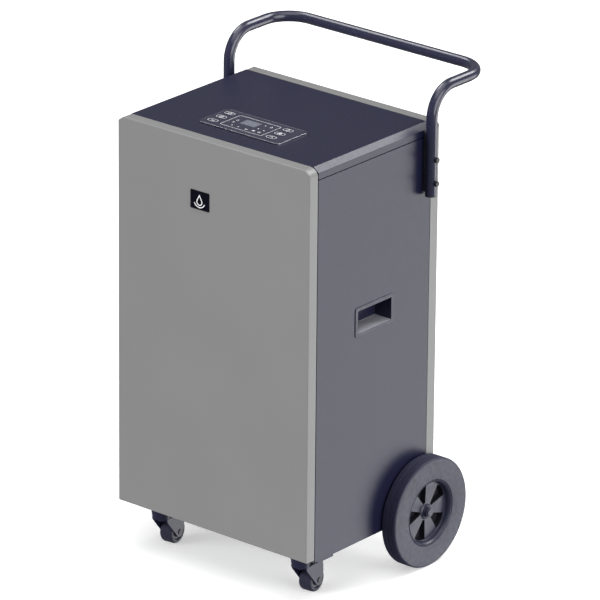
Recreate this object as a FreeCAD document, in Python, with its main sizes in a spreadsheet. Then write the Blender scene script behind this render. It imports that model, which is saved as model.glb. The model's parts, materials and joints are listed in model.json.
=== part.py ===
import FreeCAD, Part
import math
import os
import re

import Sketcher
from FreeCAD import Placement, Rotation, Vector

# Wheeled cabinet dehumidifier.
# Frame: +Z up, the front face looks along -Y, +X is the right hand of a person facing the rear.
# The origin is on the floor, under the middle of the whole machine, push handle included.
# All sizes are in millimetres.

SIZES = {
    # cabinet
    "cabinet_width": 478,
    "cabinet_depth": 388,
    "panel_height": 800,
    "floor_gap": 105,
    "base_drop": 6,
    "gauge": 1.5,
    "tray_depth": 24,
    "seam": 2,
    "chamfer_width": 13,
    "chamfer_height": 9.5,
    "face_round": 2,
    "cover_drop": 23,
    "flange": 20,
    "post_width": 28,
    "deck_height": 405,
    "deck_front_gap": 113,
    # push handle
    "tube": 22,
    "tube_wall": 2,
    "handle_gap": 4,
    "handle_setback": 42.8,
    "handle_rise": 73.1,
    "handle_reach": 127.4,
    "handle_overlap": 138,
    "knee_radius": 58,
    "corner_radius": 61,
    "upper_bolt_drop": 65,
    "lower_bolt_drop": 113,
    "bolt": 6,
    "bolt_head": 11,
    "bolt_head_height": 6,
    "bolt_slack": 0.3,
    # rear wheels
    "wheel": 224,
    "wheel_width": 34,
    "wheel_gap": 2.3,
    "wheel_setback": 51.5,
    "rim": 134,
    "axle": 16,
    "running_slack": 0.05,
    "spoke_count": 5,
    # front casters
    "caster_wheel": 50,
    "caster_wheel_width": 29,
    "caster_trail": 38,
    "caster_turn": 7,
    "caster_spread": 356,
    "caster_setback": 58,
    "caster_plate_width": 122,
    "caster_plate_depth": 48,
    "plate_thickness": 4.4,
    "kingpin": 10,
    "caster_axle": 8,
    # side grips
    "grip_length": 116,
    "grip_height": 61,
    "grip_rim": 8,
    "grip_depth": 41,
    "grip_wall": 2,
    "grip_setback": 197,
    "grip_level": 453.5,
    "grip_round": 6,
    # badge
    "badge_width": 46,
    "badge_height": 37.5,
    "badge_offset": -31,
    "badge_drop": 123,
    "badge_thickness": 2,
    # controls
    "bezel_width": 203,
    "bezel_depth": 92,
    "bezel_setback": 72,
    "bezel_height": 2.5,
    "bezel_ring": 3.5,
    "bezel_round": 11,
    "overlay_thickness": 1.8,
    "overlay_seat": 3,
    "key_length": 25,
    "key_width": 14,
    "key_proud": 0.8,
    "key_travel": 1.2,
    "key_slack": 0.4,
    "left_key_column": -79.5,
    "right_key_column": 66,
    "key_pitch": 25,
    "display_width": 37,
    "display_depth": 25,
    "display_offset": -13.5,
    "display_setback": 127.5,
    # air path at the rear
    "intake_width": 350,
    "intake_top_drop": 135,
    "outlet_width": 304,
    "outlet_height": 144,
    "outlet_level": 232,
    "grille_flange": 6,
    "grille_thickness": 3,
    "louvre_pitch": 18,
    "filter_thickness": 12,
    "coil_width": 340,
    "coil_depth": 36,
    "coil_rows": 6,
    "fan_margin": 54,
    "fan_blades": 5,
    "motor": 90,
    "motor_shaft": 8,
    # refrigeration
    "compressor": 120,
    "compressor_height": 230,
    "line": 8,
    "capillary": 3,
    "drier": 20,
    "accumulator": 50,
    # drain and cord inlet
    "hose": 16,
    "hose_bore": 12,
    "drain_offset": 190,
    "drain_over_axle": 17,
    "spigot_length": 28,
    "gland_thread": 20,
    "cord_hole": 8.4,
    "gland_offset": -190,
    "gland_level": 150,
}

FRONT = "(-(cabinet_depth + handle_reach + tube / 2 - badge_thickness) / 2)"
REAR = f"({FRONT} + cabinet_depth)"
SIDE = "(cabinet_width / 2)"
INNER = "(cabinet_width / 2 - gauge)"
BOTTOM = "floor_gap"
BASE = "(floor_gap - base_drop)"
TOP = "(floor_gap + panel_height)"
SKIN_FRONT = f"({FRONT} + tray_depth + seam)"
SKIN_REAR = f"({REAR} - tray_depth - gauge)"
LEG_X = "(cabinet_width / 2 + handle_gap + tube / 2)"
LEG_Y = f"({REAR} - handle_setback)"
WHEEL_Y = f"({REAR} - wheel_setback)"
WHEEL_X = "(cabinet_width / 2 + wheel_gap + wheel_width / 2)"
CASTER_Y = f"({FRONT} + caster_setback)"
BEZEL_FRONT = f"({FRONT} + bezel_setback)"
BEZEL_REAR = f"({FRONT} + bezel_setback + bezel_depth)"
OVERLAY_TOP = f"({TOP} + overlay_thickness)"
KEY_ROWS = [f"({BEZEL_FRONT} + 21.5 + {row} * key_pitch)" for row in range(3)]
PAN_FLOOR = f"({BASE} + gauge)"
DECK_TOP = "(deck_height + gauge)"
COIL_FLOOR = "(deck_height + 35)"
INTAKE_HIGH = f"({TOP} - intake_top_drop)"
INTAKE_HEIGHT = f"({INTAKE_HIGH} - {COIL_FLOOR})"
INTAKE_LEVEL = f"(({INTAKE_HIGH} + {COIL_FLOOR}) / 2)"
FAN = f"(min(coil_width; {INTAKE_HEIGHT}) - fan_margin)"
DRAIN_LEVEL = "(wheel / 2 + axle / 2 + hose / 2 + drain_over_axle)"
EVAPORATOR_FRONT = f"({REAR} - 77)"
CONDENSER_FRONT = f"({REAR} - 121)"
SHROUD_REAR = f"({CONDENSER_FRONT} - 12)"

doc = FreeCAD.newDocument("dehumidifier")
sheet = doc.addObject("Spreadsheet::Sheet", "Sizes")
nodes = []


def fill_sheet():
    for row, (alias, size) in enumerate(SIZES.items(), start=1):
        sheet.set(f"A{row}", alias)
        sheet.set(f"B{row}", str(size))
        sheet.setAlias(f"B{row}", alias)
    doc.recompute()


def linked(expression):
    """Point every size name in an expression at its cell of the sheet."""
    return re.sub(r"[a-z_]+", lambda word: "Sizes." + word.group() if word.group() in SIZES else word.group(),
                  str(expression))


def value(expression):
    number = sheet.evalExpression(linked(expression))
    return float(getattr(number, "Value", number))


def point(x, y, z):
    return Vector(value(x), value(y), value(z))


# ---------------------------------------------------------------- building blocks

def keep(thing, label):
    """Make an object one of the machine's pieces, under its own name."""
    thing.Label = label
    nodes.append(thing)
    return thing


def new_body(label):
    return keep(doc.addObject("PartDesign::Body", label), label)


def sketch_on(body, plane, offset="0"):
    """A sketch on one of the body's origin planes; XZ_Plane faces -Y, so its offset runs that way."""
    sketch = body.newObject("Sketcher::SketchObject", body.Name + "_sketch")
    support = next(feature for feature in body.Origin.OriginFeatures if feature.Role == plane)
    sketch.AttachmentSupport = [(support, "")]
    sketch.MapMode = "FlatFace"
    sketch.setExpression("AttachmentOffset.Base.z", linked(offset))
    return sketch


def pin_vertex(sketch, geometry, vertex, x, y):
    for kind, expression in (("DistanceX", x), ("DistanceY", y)):
        constraint = Sketcher.Constraint(kind, -1, 1, geometry, vertex, value(expression))
        index = sketch.addConstraint(constraint)
        sketch.setExpression(f"Constraints[{index}]", linked(expression))


def outline(sketch, corners):
    """A closed polygon whose corners are pairs of expressions."""
    places = [Vector(value(x), value(y), 0) for x, y in corners]
    first = sketch.GeometryCount
    count = len(corners)
    for step in range(count):
        sketch.addGeometry(Part.LineSegment(places[step], places[(step + 1) % count]), False)
    for step in range(count):
        following = first + (step + 1) % count
        sketch.addConstraint(Sketcher.Constraint("Coincident", first + step, 2, following, 1))
    for step, (x, y) in enumerate(corners):
        pin_vertex(sketch, first + step, 1, x, y)


def rectangle(sketch, left, right, low, high):
    outline(sketch, [(left, low), (right, low), (right, high), (left, high)])


def ring(sketch, x, y, radius):
    centre = Vector(value(x), value(y), 0)
    index = sketch.addGeometry(Part.Circle(centre, Vector(0, 0, 1), value(radius)), False)
    pin_vertex(sketch, index, 3, x, y)
    constraint = sketch.addConstraint(Sketcher.Constraint("Radius", index, value(radius)))
    sketch.setExpression(f"Constraints[{constraint}]", linked(radius))


def oval(sketch, x, y, length, width):
    """A slot outline, long way along X: two half circles joined by tangent lines."""
    half = value(f"({length} - {width}) / 2")
    radius = value(f"{width} / 2")
    middle = Vector(value(x), value(y), 0)
    up = Vector(0, 0, 1)
    right_end = Part.Circle(middle + Vector(half, 0, 0), up, radius)
    left_end = Part.Circle(middle - Vector(half, 0, 0), up, radius)
    low, high = Vector(0, -radius, 0), Vector(0, radius, 0)
    along = Vector(half, 0, 0)
    first = sketch.GeometryCount
    sketch.addGeometry(Part.ArcOfCircle(right_end, -math.pi / 2, math.pi / 2), False)
    sketch.addGeometry(Part.LineSegment(middle + along + high, middle - along + high), False)
    sketch.addGeometry(Part.ArcOfCircle(left_end, math.pi / 2, 3 * math.pi / 2), False)
    sketch.addGeometry(Part.LineSegment(middle - along + low, middle + along + low), False)
    for step in range(4):
        sketch.addConstraint(Sketcher.Constraint("Tangent", first + step, 2, first + (step + 1) % 4, 1))
    pin_vertex(sketch, first, 3, f"{x} + ({length} - {width}) / 2", y)
    pin_vertex(sketch, first + 2, 3, f"{x} - ({length} - {width}) / 2", y)
    constraint = sketch.addConstraint(Sketcher.Constraint("Radius", first, radius))
    sketch.setExpression(f"Constraints[{constraint}]", linked(f"{width} / 2"))


def pad(body, sketch, length, flipped=False):
    feature = body.newObject("PartDesign::Pad", body.Name + "_pad")
    feature.Profile = sketch
    feature.Reversed = flipped
    feature.setExpression("Length", linked(length))
    doc.recompute()
    return feature


def pocket(body, sketch, length, flipped=False):
    """Cut a sketch into the body, and insist that it takes material away."""
    before = body.Shape.Volume
    feature = body.newObject("PartDesign::Pocket", body.Name + "_pocket")
    feature.Profile = sketch
    feature.Reversed = flipped
    feature.setExpression("Length", linked(length))
    doc.recompute()
    if not body.Shape.Volume < before - 1:
        raise ValueError(body.Label + ": a pocket cuts nothing")
    return feature


def turn_profile(body, sketch):
    """Turn a sketch round its own horizontal axis."""
    feature = body.newObject("PartDesign::Revolution", body.Name + "_turned")
    feature.Profile = sketch
    feature.ReferenceAxis = (sketch, ["H_Axis"])
    feature.Angle = 360
    doc.recompute()
    return feature


def edges_of(feature, wanted):
    """Names of the feature's edges that lie as asked."""
    found = enumerate(feature.Shape.Edges, start=1)
    return [f"Edge{number}" for number, edge in found if wanted(edge)]


def soften(body, feature, radius, wanted):
    rounded = body.newObject("PartDesign::Fillet", body.Name + "_round")
    rounded.Base = (feature, edges_of(feature, wanted))
    rounded.setExpression("Radius", linked(radius))
    doc.recompute()
    return rounded


def runs_along(axis):
    """A test for straight edges parallel to an axis."""
    def test(edge):
        if len(edge.Vertexes) != 2 or not isinstance(edge.Curve, Part.Line):
            return False
        return abs(abs(edge.Curve.Direction.dot(axis)) - 1) < 1e-6
    return test


def lies_at(axis, level):
    """A test for edges whose every end lies at one level along an axis."""
    def test(edge):
        return all(abs(vertex.Point.dot(axis) - level) < 1e-4 for vertex in edge.Vertexes)
    return test


def move_to(thing, x, y, z):
    for letter, expression in zip("xyz", (x, y, z)):
        thing.setExpression("Placement.Base." + letter, linked(expression))


def block(name, x, y, z):
    """A box between pairs of expressions along each axis."""
    box = doc.addObject("Part::Box", name)
    for side, (low, high) in zip(("Length", "Width", "Height"), (x, y, z)):
        box.setExpression(side, linked(f"({high}) - ({low})"))
    move_to(box, x[0], y[0], z[0])
    return box


TURNS = {
    "x": Rotation(Vector(0, 1, 0), 90),
    "y": Rotation(Vector(1, 0, 0), -90),
    "z": Rotation(),
}


def rod(name, radius, start, length, axis="z"):
    """A cylinder from a start point along +X, +Y or +Z."""
    cylinder = doc.addObject("Part::Cylinder", name)
    cylinder.Placement = Placement(Vector(), TURNS[axis])
    cylinder.setExpression("Radius", linked(radius))
    cylinder.setExpression("Height", linked(length))
    move_to(cylinder, *start)
    return cylinder


def cut(name, base, *tools):
    """The base less its tools."""
    cutter = tools[0]
    if len(tools) > 1:
        cutter = fuse(name + "_tools", *tools)
    result = doc.addObject("Part::Cut", name)
    result.Base = base
    result.Tool = cutter
    return result


def fuse(name, *things):
    result = doc.addObject("Part::MultiFuse", name)
    result.Shapes = list(things)
    return result


def group(label, things):
    """Several like pieces that share one name, as separate solids."""
    result = doc.addObject("Part::Compound", label)
    result.Links = list(things)
    return keep(result, label)


def formed(label, shape):
    """A piece whose shape is worked out with Part's own functions."""
    feature = doc.addObject("Part::Feature", label)
    feature.Shape = shape
    return keep(feature, label)


def route(corners, bend):
    """Straight runs joined by tangent arcs of one bend radius."""
    edges = []
    start = corners[0]
    for before, corner, after in zip(corners, corners[1:], corners[2:]):
        incoming = (corner - before).normalize()
        outgoing = (after - corner).normalize()
        angle = incoming.getAngle(outgoing)
        setback = bend * math.tan(angle / 2)
        arc_start = corner - incoming * setback
        arc_end = corner + outgoing * setback
        inward = (outgoing - incoming).normalize()
        crown = corner + inward * (bend / math.cos(angle / 2) - bend)
        edges.append(Part.LineSegment(start, arc_start).toShape())
        edges.append(Part.Arc(arc_start, crown, arc_end).toShape())
        start = arc_end
    edges.append(Part.LineSegment(start, corners[-1]).toShape())
    return Part.Wire(edges)


def tube_along(path, radius):
    """A round bar swept along a route."""
    first = path.Edges[0]
    start = first.valueAt(first.FirstParameter)
    direction = first.tangentAt(first.FirstParameter)
    section = Part.Wire([Part.Circle(start, direction, radius).toShape()])
    return path.makePipeShell([section], True, True)


def side_name(side):
    return "left" if side < 0 else "right"


def along_side(side, near, far):
    """An X range measured outwards from the cabinet's middle, on either side."""
    return (near, far) if side > 0 else (f"-({far})", f"-({near})")


# ---------------------------------------------------------------- cabinet

def end_profile(inset):
    """The cabinet's end section: a rectangle whose two top corners are chamfered."""
    half = f"({SIDE} - {inset})"
    high = f"({TOP} - {inset})"
    low = f"({BOTTOM} + {inset})"
    shoulder = f"({TOP} - chamfer_height - {inset} * 0.6)"
    flat = f"({SIDE} - chamfer_width - {inset} * 0.6)"
    return [
        (f"-{half}", low),
        (half, low),
        (half, shoulder),
        (flat, high),
        (f"-{flat}", high),
        (f"-{half}", shoulder),
    ]


def tray(label, open_level, flipped, face_level):
    """A folded sheet panel, open towards the middle of the cabinet."""
    body = new_body(label)
    outer = sketch_on(body, "XZ_Plane", f"-{open_level}")
    outline(outer, end_profile("0"))
    solid = pad(body, outer, "tray_depth", flipped)
    rounded = soften(body, solid, "face_round", lies_at(Vector(0, 1, 0), value(face_level)))
    body.Tip = rounded
    inner = sketch_on(body, "XZ_Plane", f"-{open_level}")
    outline(inner, end_profile("gauge"))
    pocket(body, inner, "tray_depth - gauge", not flipped)
    return body


def front_panel():
    tray("front_panel", f"({FRONT} + tray_depth)", False, FRONT)


def screw_places():
    """Screws round the edge of the rear panel, as x and z."""
    side = f"({SIDE} - 14)"
    levels = [f"({BOTTOM} + 30)", f"({BOTTOM} + panel_height / 2)", f"({TOP} - 40)"]
    places = [(sign + side, level) for sign in ("-", "") for level in levels]
    places += [(x, f"({TOP} - 18)") for x in ("-cabinet_width / 5", "cabinet_width / 5")]
    return places


def rear_panel():
    body = tray("rear_panel", f"({REAR} - tray_depth)", True, REAR)
    holes = sketch_on(body, "XZ_Plane", f"-{REAR}")
    rectangle(holes, "-intake_width / 2", "intake_width / 2",
              COIL_FLOOR, INTAKE_HIGH)
    rectangle(holes, "-outlet_width / 2", "outlet_width / 2",
              "outlet_level - outlet_height / 2", "outlet_level + outlet_height / 2")
    ring(holes, "gland_offset", "gland_level", "gland_thread / 2")
    ring(holes, "drain_offset", DRAIN_LEVEL, "hose / 2")
    for x, z in screw_places():
        ring(holes, x, z, "2")
    pocket(body, holes, "gauge * 2", True)


def panel_screws():
    """Pan head screws of the rear panel, each a head and a shank."""
    screws = []
    for number, (x, z) in enumerate(screw_places()):
        head = rod(f"screw_head_{number}", "4", (x, REAR, z), "2.2", "y")
        shank = rod(f"screw_shank_{number}", "2", (x, f"{REAR} - 8", z), "8.5", "y")
        screws.append(fuse(f"screw_{number}", head, shank))
    group("panel_screws", screws)


def side_panel(label, side):
    """A flat side sheet, with its grip cut-out, axle hole and handle bolt holes."""
    body = new_body(label)
    plane_level = INNER if side > 0 else f"-{SIDE}"
    sheet_sketch = sketch_on(body, "YZ_Plane", plane_level)
    rectangle(sheet_sketch, SKIN_FRONT, SKIN_REAR, BASE, f"({TOP} - cover_drop - gauge)")
    middle = f"({FRONT} + grip_setback)"
    level = f"({BOTTOM} + grip_level)"
    half = "(grip_length / 2 - grip_rim + grip_wall + 0.5)"
    rise = "(grip_height / 2 - grip_rim + grip_wall + 0.5)"
    rectangle(sheet_sketch, f"{middle} - {half}", f"{middle} + {half}", f"{level} - {rise}", f"{level} + {rise}")
    ring(sheet_sketch, WHEEL_Y, "wheel / 2", "axle / 2 + bolt_slack")
    for drop in ("upper_bolt_drop", "lower_bolt_drop"):
        ring(sheet_sketch, LEG_Y, f"{TOP} - {drop}", "bolt / 2 + bolt_slack")
    pad(body, sheet_sketch, "gauge")


def top_cover():
    """A channel over the top, chamfered like the end panels, with a window under the keys."""
    body = new_body("top_cover")
    section = sketch_on(body, "XZ_Plane", f"-{SKIN_REAR}")
    low = f"({TOP} - cover_drop)"
    outer = [(x, z) for x, z in end_profile("0")[2:]]
    inner = [(x, z) for x, z in end_profile("gauge")[2:]]
    corners = [(SIDE, low)] + outer + [(f"-{SIDE}", low), (f"-{INNER}", low)]
    corners += list(reversed(inner)) + [(INNER, low)]
    outline(section, corners)
    pad(body, section, f"{SKIN_REAR} - {SKIN_FRONT}")
    window = sketch_on(body, "XY_Plane", TOP)
    inset = "(bezel_ring + overlay_seat)"
    rectangle(window, f"-(bezel_width / 2 - {inset})", f"bezel_width / 2 - {inset}",
              f"{BEZEL_FRONT} + {inset}", f"{BEZEL_REAR} - {inset}")
    pocket(body, window, "gauge * 2")


def base_pan():
    """The floor of the cabinet: a shallow tray that carries the casters and the compressor."""
    body = new_body("base_pan")
    sole = sketch_on(body, "XY_Plane", BASE)
    rectangle(sole, f"-{INNER}", INNER, SKIN_FRONT, SKIN_REAR)
    pad(body, sole, "flange")
    well = sketch_on(body, "XY_Plane", f"{BASE} + flange")
    rectangle(well, f"-({INNER} - gauge)", f"{INNER} - gauge", f"{SKIN_FRONT} + gauge", f"{SKIN_REAR} - gauge")
    pocket(body, well, "flange - gauge")
    notches = sketch_on(body, "YZ_Plane", f"-{SIDE}")
    rectangle(notches, f"{WHEEL_Y} - axle", f"{WHEEL_Y} + axle", PAN_FLOOR, f"{BASE} + flange * 2")
    pocket(body, notches, "cabinet_width", True)


def corner_posts():
    """Four folded angles that join the pan, the sides and the end panels."""
    posts = []
    z_range = (f"{BASE} + flange", f"{TOP} - cover_drop - flange")
    front = (f"{FRONT} + 7", f"{FRONT} + 7 + post_width")
    rear = (f"{REAR} - 7 - post_width", f"{REAR} - 7")
    front_web = (f"{SKIN_FRONT} + gauge * 2", f"{SKIN_FRONT} + gauge * 3")
    rear_web = (f"{SKIN_REAR} - gauge * 3", f"{SKIN_REAR} - gauge * 2")
    for side in (-1, 1):
        for end, wall_y, web_y in (("front", front, front_web), ("rear", rear, rear_web)):
            name = f"{side_name(side)}_{end}_post"
            wall = block(name + "_wall", along_side(side, f"{INNER} - gauge", INNER), wall_y, z_range)
            web = block(name + "_web", along_side(side, f"{INNER} - post_width", INNER), web_y, z_range)
            posts.append(fuse(name, wall, web))
    group("corner_posts", posts)


def mid_deck():
    """The shelf that carries the coils, with holes for the pipes and an air gap at the front."""
    body = new_body("mid_deck")
    shelf = sketch_on(body, "XY_Plane", "deck_height")
    rectangle(shelf, f"-{INNER}", INNER, f"{FRONT} + deck_front_gap", f"{REAR} - 7 - post_width - 1")
    for x, y, radius in deck_holes():
        ring(shelf, x, y, radius)
    pad(body, shelf, "gauge")


# ---------------------------------------------------------------- push handle

def handle_path():
    """The centre line of the push handle, from the foot of one leg to the foot of the other."""
    leg = value(LEG_X)
    near = value(LEG_Y)
    far = value(f"{REAR} + handle_reach")
    foot = value(f"{TOP} - handle_overlap")
    crest = value(f"{TOP} + handle_rise")
    knee = value("knee_radius")
    corner = value("corner_radius")
    lean = math.sqrt(0.5)
    edges = []
    for side in (-1, 1):
        x = side * leg
        knee_mid = Vector(x, near + knee * (1 - lean), crest - knee * (1 - lean))
        bend_mid = Vector(side * (leg - corner * (1 - lean)), far - corner * (1 - lean), crest)
        half = [
            Part.LineSegment(Vector(x, near, foot), Vector(x, near, crest - knee)).toShape(),
            Part.Arc(Vector(x, near, crest - knee), knee_mid, Vector(x, near + knee, crest)).toShape(),
            Part.LineSegment(Vector(x, near + knee, crest), Vector(x, far - corner, crest)).toShape(),
            Part.Arc(Vector(x, far - corner, crest), bend_mid, Vector(side * (leg - corner), far, crest)).toShape(),
        ]
        edges += half
    bar_end = leg - corner
    edges.append(Part.LineSegment(Vector(-bar_end, far, crest), Vector(bar_end, far, crest)).toShape())
    return Part.Wire(Part.__sortEdges__(edges))


def push_handle():
    """One bent tube, drilled for its four bolts."""
    path = handle_path()
    shape = tube_along(path, value("tube / 2")).cut(tube_along(path, value("tube / 2 - tube_wall")))
    reach = value("cabinet_width + tube * 3")
    for drop in ("upper_bolt_drop", "lower_bolt_drop"):
        start = point(f"-{reach} / 2", LEG_Y, f"{TOP} - {drop}")
        shape = shape.cut(Part.makeCylinder(value("bolt / 2 + bolt_slack"), reach, start, Vector(1, 0, 0)))
    formed("push_handle", shape)


def each_handle_bolt():
    """Name, side and level of each of the four handle bolts."""
    for side in (-1, 1):
        for level, drop in (("upper", "upper_bolt_drop"), ("lower", "lower_bolt_drop")):
            yield f"{side_name(side)}_{level}", side, f"({TOP} - {drop})"


def handle_bolts():
    """Bolts through the tube and the side sheet, with a nut inside the cabinet."""
    bolts = []
    nut_face = f"({INNER} - 5)"
    head_face = "(cabinet_width / 2 + handle_gap + tube)"
    for name, side, level in each_handle_bolt():
        head_x = along_side(side, head_face, f"{head_face} + bolt_head_height")
        shank_x = along_side(side, nut_face, f"{head_face} + 1")
        nut_x = along_side(side, nut_face, INNER)
        head = rod(f"{name}_head", "bolt_head / 2", (head_x[0], LEG_Y, level), "bolt_head_height", "x")
        shank = rod(f"{name}_shank", "bolt / 2", (shank_x[0], LEG_Y, level), f"{shank_x[1]} - ({shank_x[0]})", "x")
        nut = rod(f"{name}_nut", "bolt_head / 2", (nut_x[0], LEG_Y, level), f"{nut_x[1]} - ({nut_x[0]})", "x")
        bolts.append(fuse(f"{name}_bolt", head, shank, nut))
    group("handle_bolts", bolts)


def handle_spacers():
    """Washers that hold the tube off the side sheet."""
    washers = []
    for name, side, level in each_handle_bolt():
        x_range = along_side(side, SIDE, "cabinet_width / 2 + handle_gap")
        disc = rod(f"{name}_disc", "bolt + 1", (x_range[0], LEG_Y, level), "handle_gap", "x")
        hole = rod(f"{name}_hole", "bolt / 2 + bolt_slack", (x_range[0], LEG_Y, level), "handle_gap", "x")
        washers.append(cut(f"{name}_washer", disc, hole))
    group("handle_spacers", washers)


def handle_plugs():
    """Plastic plugs in the open feet of the tube."""
    plugs = []
    foot = f"({TOP} - handle_overlap)"
    for name, x in (("left", f"-{LEG_X}"), ("right", LEG_X)):
        cap = rod(f"{name}_plug_cap", "tube / 2", (x, LEG_Y, f"{foot} - 3"), "3")
        stem = rod(f"{name}_plug_stem", "tube / 2 - tube_wall - 0.1", (x, LEG_Y, f"{foot} - 1"), "13")
        plugs.append(fuse(f"{name}_plug", cap, stem))
    group("handle_plugs", plugs)


# ---------------------------------------------------------------- rear wheels

def wheel_tyre(label, side):
    """A solid rubber tyre with rounded shoulders and two grooves round the tread."""
    body = new_body(label)
    section = sketch_on(body, "XY_Plane")
    half = "(wheel_width / 2)"
    outer = "(wheel / 2)"
    bead = "(rim / 2)"
    right = [
        ("1.2", outer),
        ("4.2", f"{outer} - 0.1"),
        ("4.6", f"{outer} - 2.6"),
        ("7.4", f"{outer} - 2.6"),
        ("7.8", f"{outer} - 0.1"),
        (f"{half} - 4", f"{outer} - 0.2"),
        (f"{half} - 1.6", f"{outer} - 1.2"),
        (f"{half} - 0.4", f"{outer} - 3.2"),
        (half, f"{outer} - 6"),
        (half, f"{bead} + 1.2"),
        (f"{half} - 0.5", f"{bead} + 0.4"),
        (f"{half} - 1.6", bead),
    ]
    left = [(f"-({x})", y) for x, y in reversed(right)]
    outline(section, right + left)
    turn_profile(body, section)
    place_wheel(body, side)


def wheel_rim(label, side):
    """A moulded rim: bead ring, spoked disc and hub on the axle, with five blind wedge pockets."""
    body = new_body(label)
    section = sketch_on(body, "XY_Plane")
    half = "(wheel_width / 2)"
    bore = "(axle / 2 + running_slack)"
    bead = "(rim / 2)"
    outline(section, [
        (f"-{half} + 1", bore),
        (f"{half} - 11", bore),
        (f"{half} - 11", "axle / 2 + 5"),
        (f"{half} - 13", "axle / 2 + 8"),
        (f"{half} - 13", f"{bead} - 7.5"),
        (f"{half} - 11.5", f"{bead} - 6.4"),
        (f"{half} - 5", f"{bead} - 5.6"),
        (f"{half} - 1.4", f"{bead} - 3"),
        (f"{half} - 0.6", f"{bead} - 1"),
        (f"{half} - 1.6", bead),
        (f"-{half} + 1.6", bead),
        (f"-{half} + 0.6", f"{bead} - 3"),
        (f"-{half} + 0.6", f"{bead} - 6"),
        (f"-{half} + 4", f"{bead} - 8"),
        (f"-{half} + 4", "axle / 2 + 12"),
        (f"-{half} + 1", "axle / 2 + 9"),
    ])
    turn_profile(body, section)
    window = sketch_on(body, "YZ_Plane", half)
    reach = value(f"{bead} - 9")
    root = value("axle / 2 + 10")
    lean = 35
    wedge = [(root, -10), (reach, -17), (reach + 1.5, -6), (reach + 1.5, 6), (reach, 17), (root, 10)]
    places = [(radius * math.cos(math.radians(lean + angle)), radius * math.sin(math.radians(lean + angle)))
              for radius, angle in wedge]
    outline(window, [(f"{y:.4f}", f"{z:.4f}") for y, z in places])
    opening = pocket(body, window, "wheel_width - 8")
    spokes = body.newObject("PartDesign::PolarPattern", body.Name + "_spokes")
    spokes.Originals = [opening]
    spokes.Axis = (section, ["H_Axis"])
    spokes.Angle = 360
    spokes.setExpression("Occurrences", linked("spoke_count"))
    body.Tip = spokes
    place_wheel(body, side)


def place_wheel(body, side):
    if side < 0:
        body.Placement = Placement(Vector(), Rotation(Vector(0, 0, 1), 180))
    move_to(body, WHEEL_X if side > 0 else f"-{WHEEL_X}", WHEEL_Y, "wheel / 2")


def wheel_axle():
    """A steel axle right through the cabinet, and the two brackets that hold it."""
    half = "(cabinet_width / 2 + wheel_gap + wheel_width - 3)"
    keep(rod("wheel_axle", "axle / 2", (f"-{half}", WHEEL_Y, "wheel / 2"), f"2 * {half}", "x"), "wheel_axle")
    brackets = []
    for side in (-1, 1):
        name = side_name(side)
        x_range = along_side(side, f"{INNER} - 36", f"{INNER} - 33")
        foot_x = along_side(side, f"{INNER} - 33", f"{INNER} - 13")
        plate = block(f"{name}_bracket_plate", x_range, (f"{WHEEL_Y} - 24", f"{WHEEL_Y} + 15"),
                      (PAN_FLOOR, "wheel / 2 + 28"))
        foot = block(f"{name}_bracket_foot", foot_x, (f"{WHEEL_Y} - 24", f"{WHEEL_Y} + 15"),
                     (PAN_FLOOR, f"{PAN_FLOOR} + 2"))
        hole = rod(f"{name}_bracket_hole", "axle / 2", (x_range[0], WHEEL_Y, "wheel / 2"), "3", "x")
        brackets.append(cut(f"{name}_bracket", fuse(f"{name}_bracket_blank", plate, foot), hole))
    group("axle_brackets", brackets)


def axle_nuts():
    """Flanged lock nuts, domed at the end, that hold the wheels on the axle."""
    nuts = []
    hub_face = "(cabinet_width / 2 + wheel_gap + wheel_width - 11)"
    end = "(cabinet_width / 2 + wheel_gap + wheel_width - 3)"
    for side in (-1, 1):
        name = side_name(side)
        washer_x = along_side(side, f"{hub_face} + 0.3", f"{hub_face} + 2")
        nut_x = along_side(side, f"{hub_face} + 2", end)
        crown_x = along_side(side, end, f"{end} + 2.5")
        washer = rod(f"{name}_nut_washer", "axle / 2 + 4", (washer_x[0], WHEEL_Y, "wheel / 2"), "1.7", "x")
        barrel = rod(f"{name}_nut_barrel", "axle / 2 + 2.5", (nut_x[0], WHEEL_Y, "wheel / 2"), "6", "x")
        crown = rod(f"{name}_nut_crown", "axle / 2", (crown_x[0], WHEEL_Y, "wheel / 2"), "2.5", "x")
        bore_x = along_side(side, hub_face, end)
        bore = rod(f"{name}_nut_bore", "axle / 2", (bore_x[0], WHEEL_Y, "wheel / 2"), "8", "x")
        nuts.append(fuse(f"{name}_nut", cut(f"{name}_nut_ring", fuse(f"{name}_nut_blank", washer, barrel), bore),
                         crown))
    group("axle_nuts", nuts)


# ---------------------------------------------------------------- front casters

def caster_plates():
    """Top plates bolted under the base, each with its kingpin."""
    plates = []
    for side in (-1, 1):
        name = side_name(side)
        x = f"{side} * caster_spread / 2"
        plate = block(f"{name}_caster_plate", (f"{x} - caster_plate_width / 2", f"{x} + caster_plate_width / 2"),
                      (f"{CASTER_Y} - caster_plate_depth / 2", f"{CASTER_Y} + caster_plate_depth / 2"),
                      (f"{BASE} - plate_thickness", BASE))
        pin = rod(f"{name}_kingpin", "kingpin / 2", (x, CASTER_Y, "caster_wheel + 12"),
                  f"{BASE} - plate_thickness - caster_wheel - 12")
        head = rod(f"{name}_kingpin_head", "kingpin / 2 + 3", (x, CASTER_Y, "caster_wheel + 9"), "3")
        plates.append(fuse(f"{name}_plate", plate, pin, head))
    group("caster_plates", plates)


def caster_bolts():
    """Four bolts under each caster plate."""
    bolts = []
    for side in (-1, 1):
        for across in (-1, 1):
            for along in (-1, 1):
                name = f"caster_bolt_{len(bolts)}"
                x = f"{side} * caster_spread / 2 + {across} * (caster_plate_width / 2 - 18)"
                y = f"{CASTER_Y} + {along} * (caster_plate_depth / 2 - 9)"
                bolts.append(rod(name, "4.5", (x, y, f"{BASE} - plate_thickness - 4"), "4"))
    group("caster_bolts", bolts)


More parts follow.
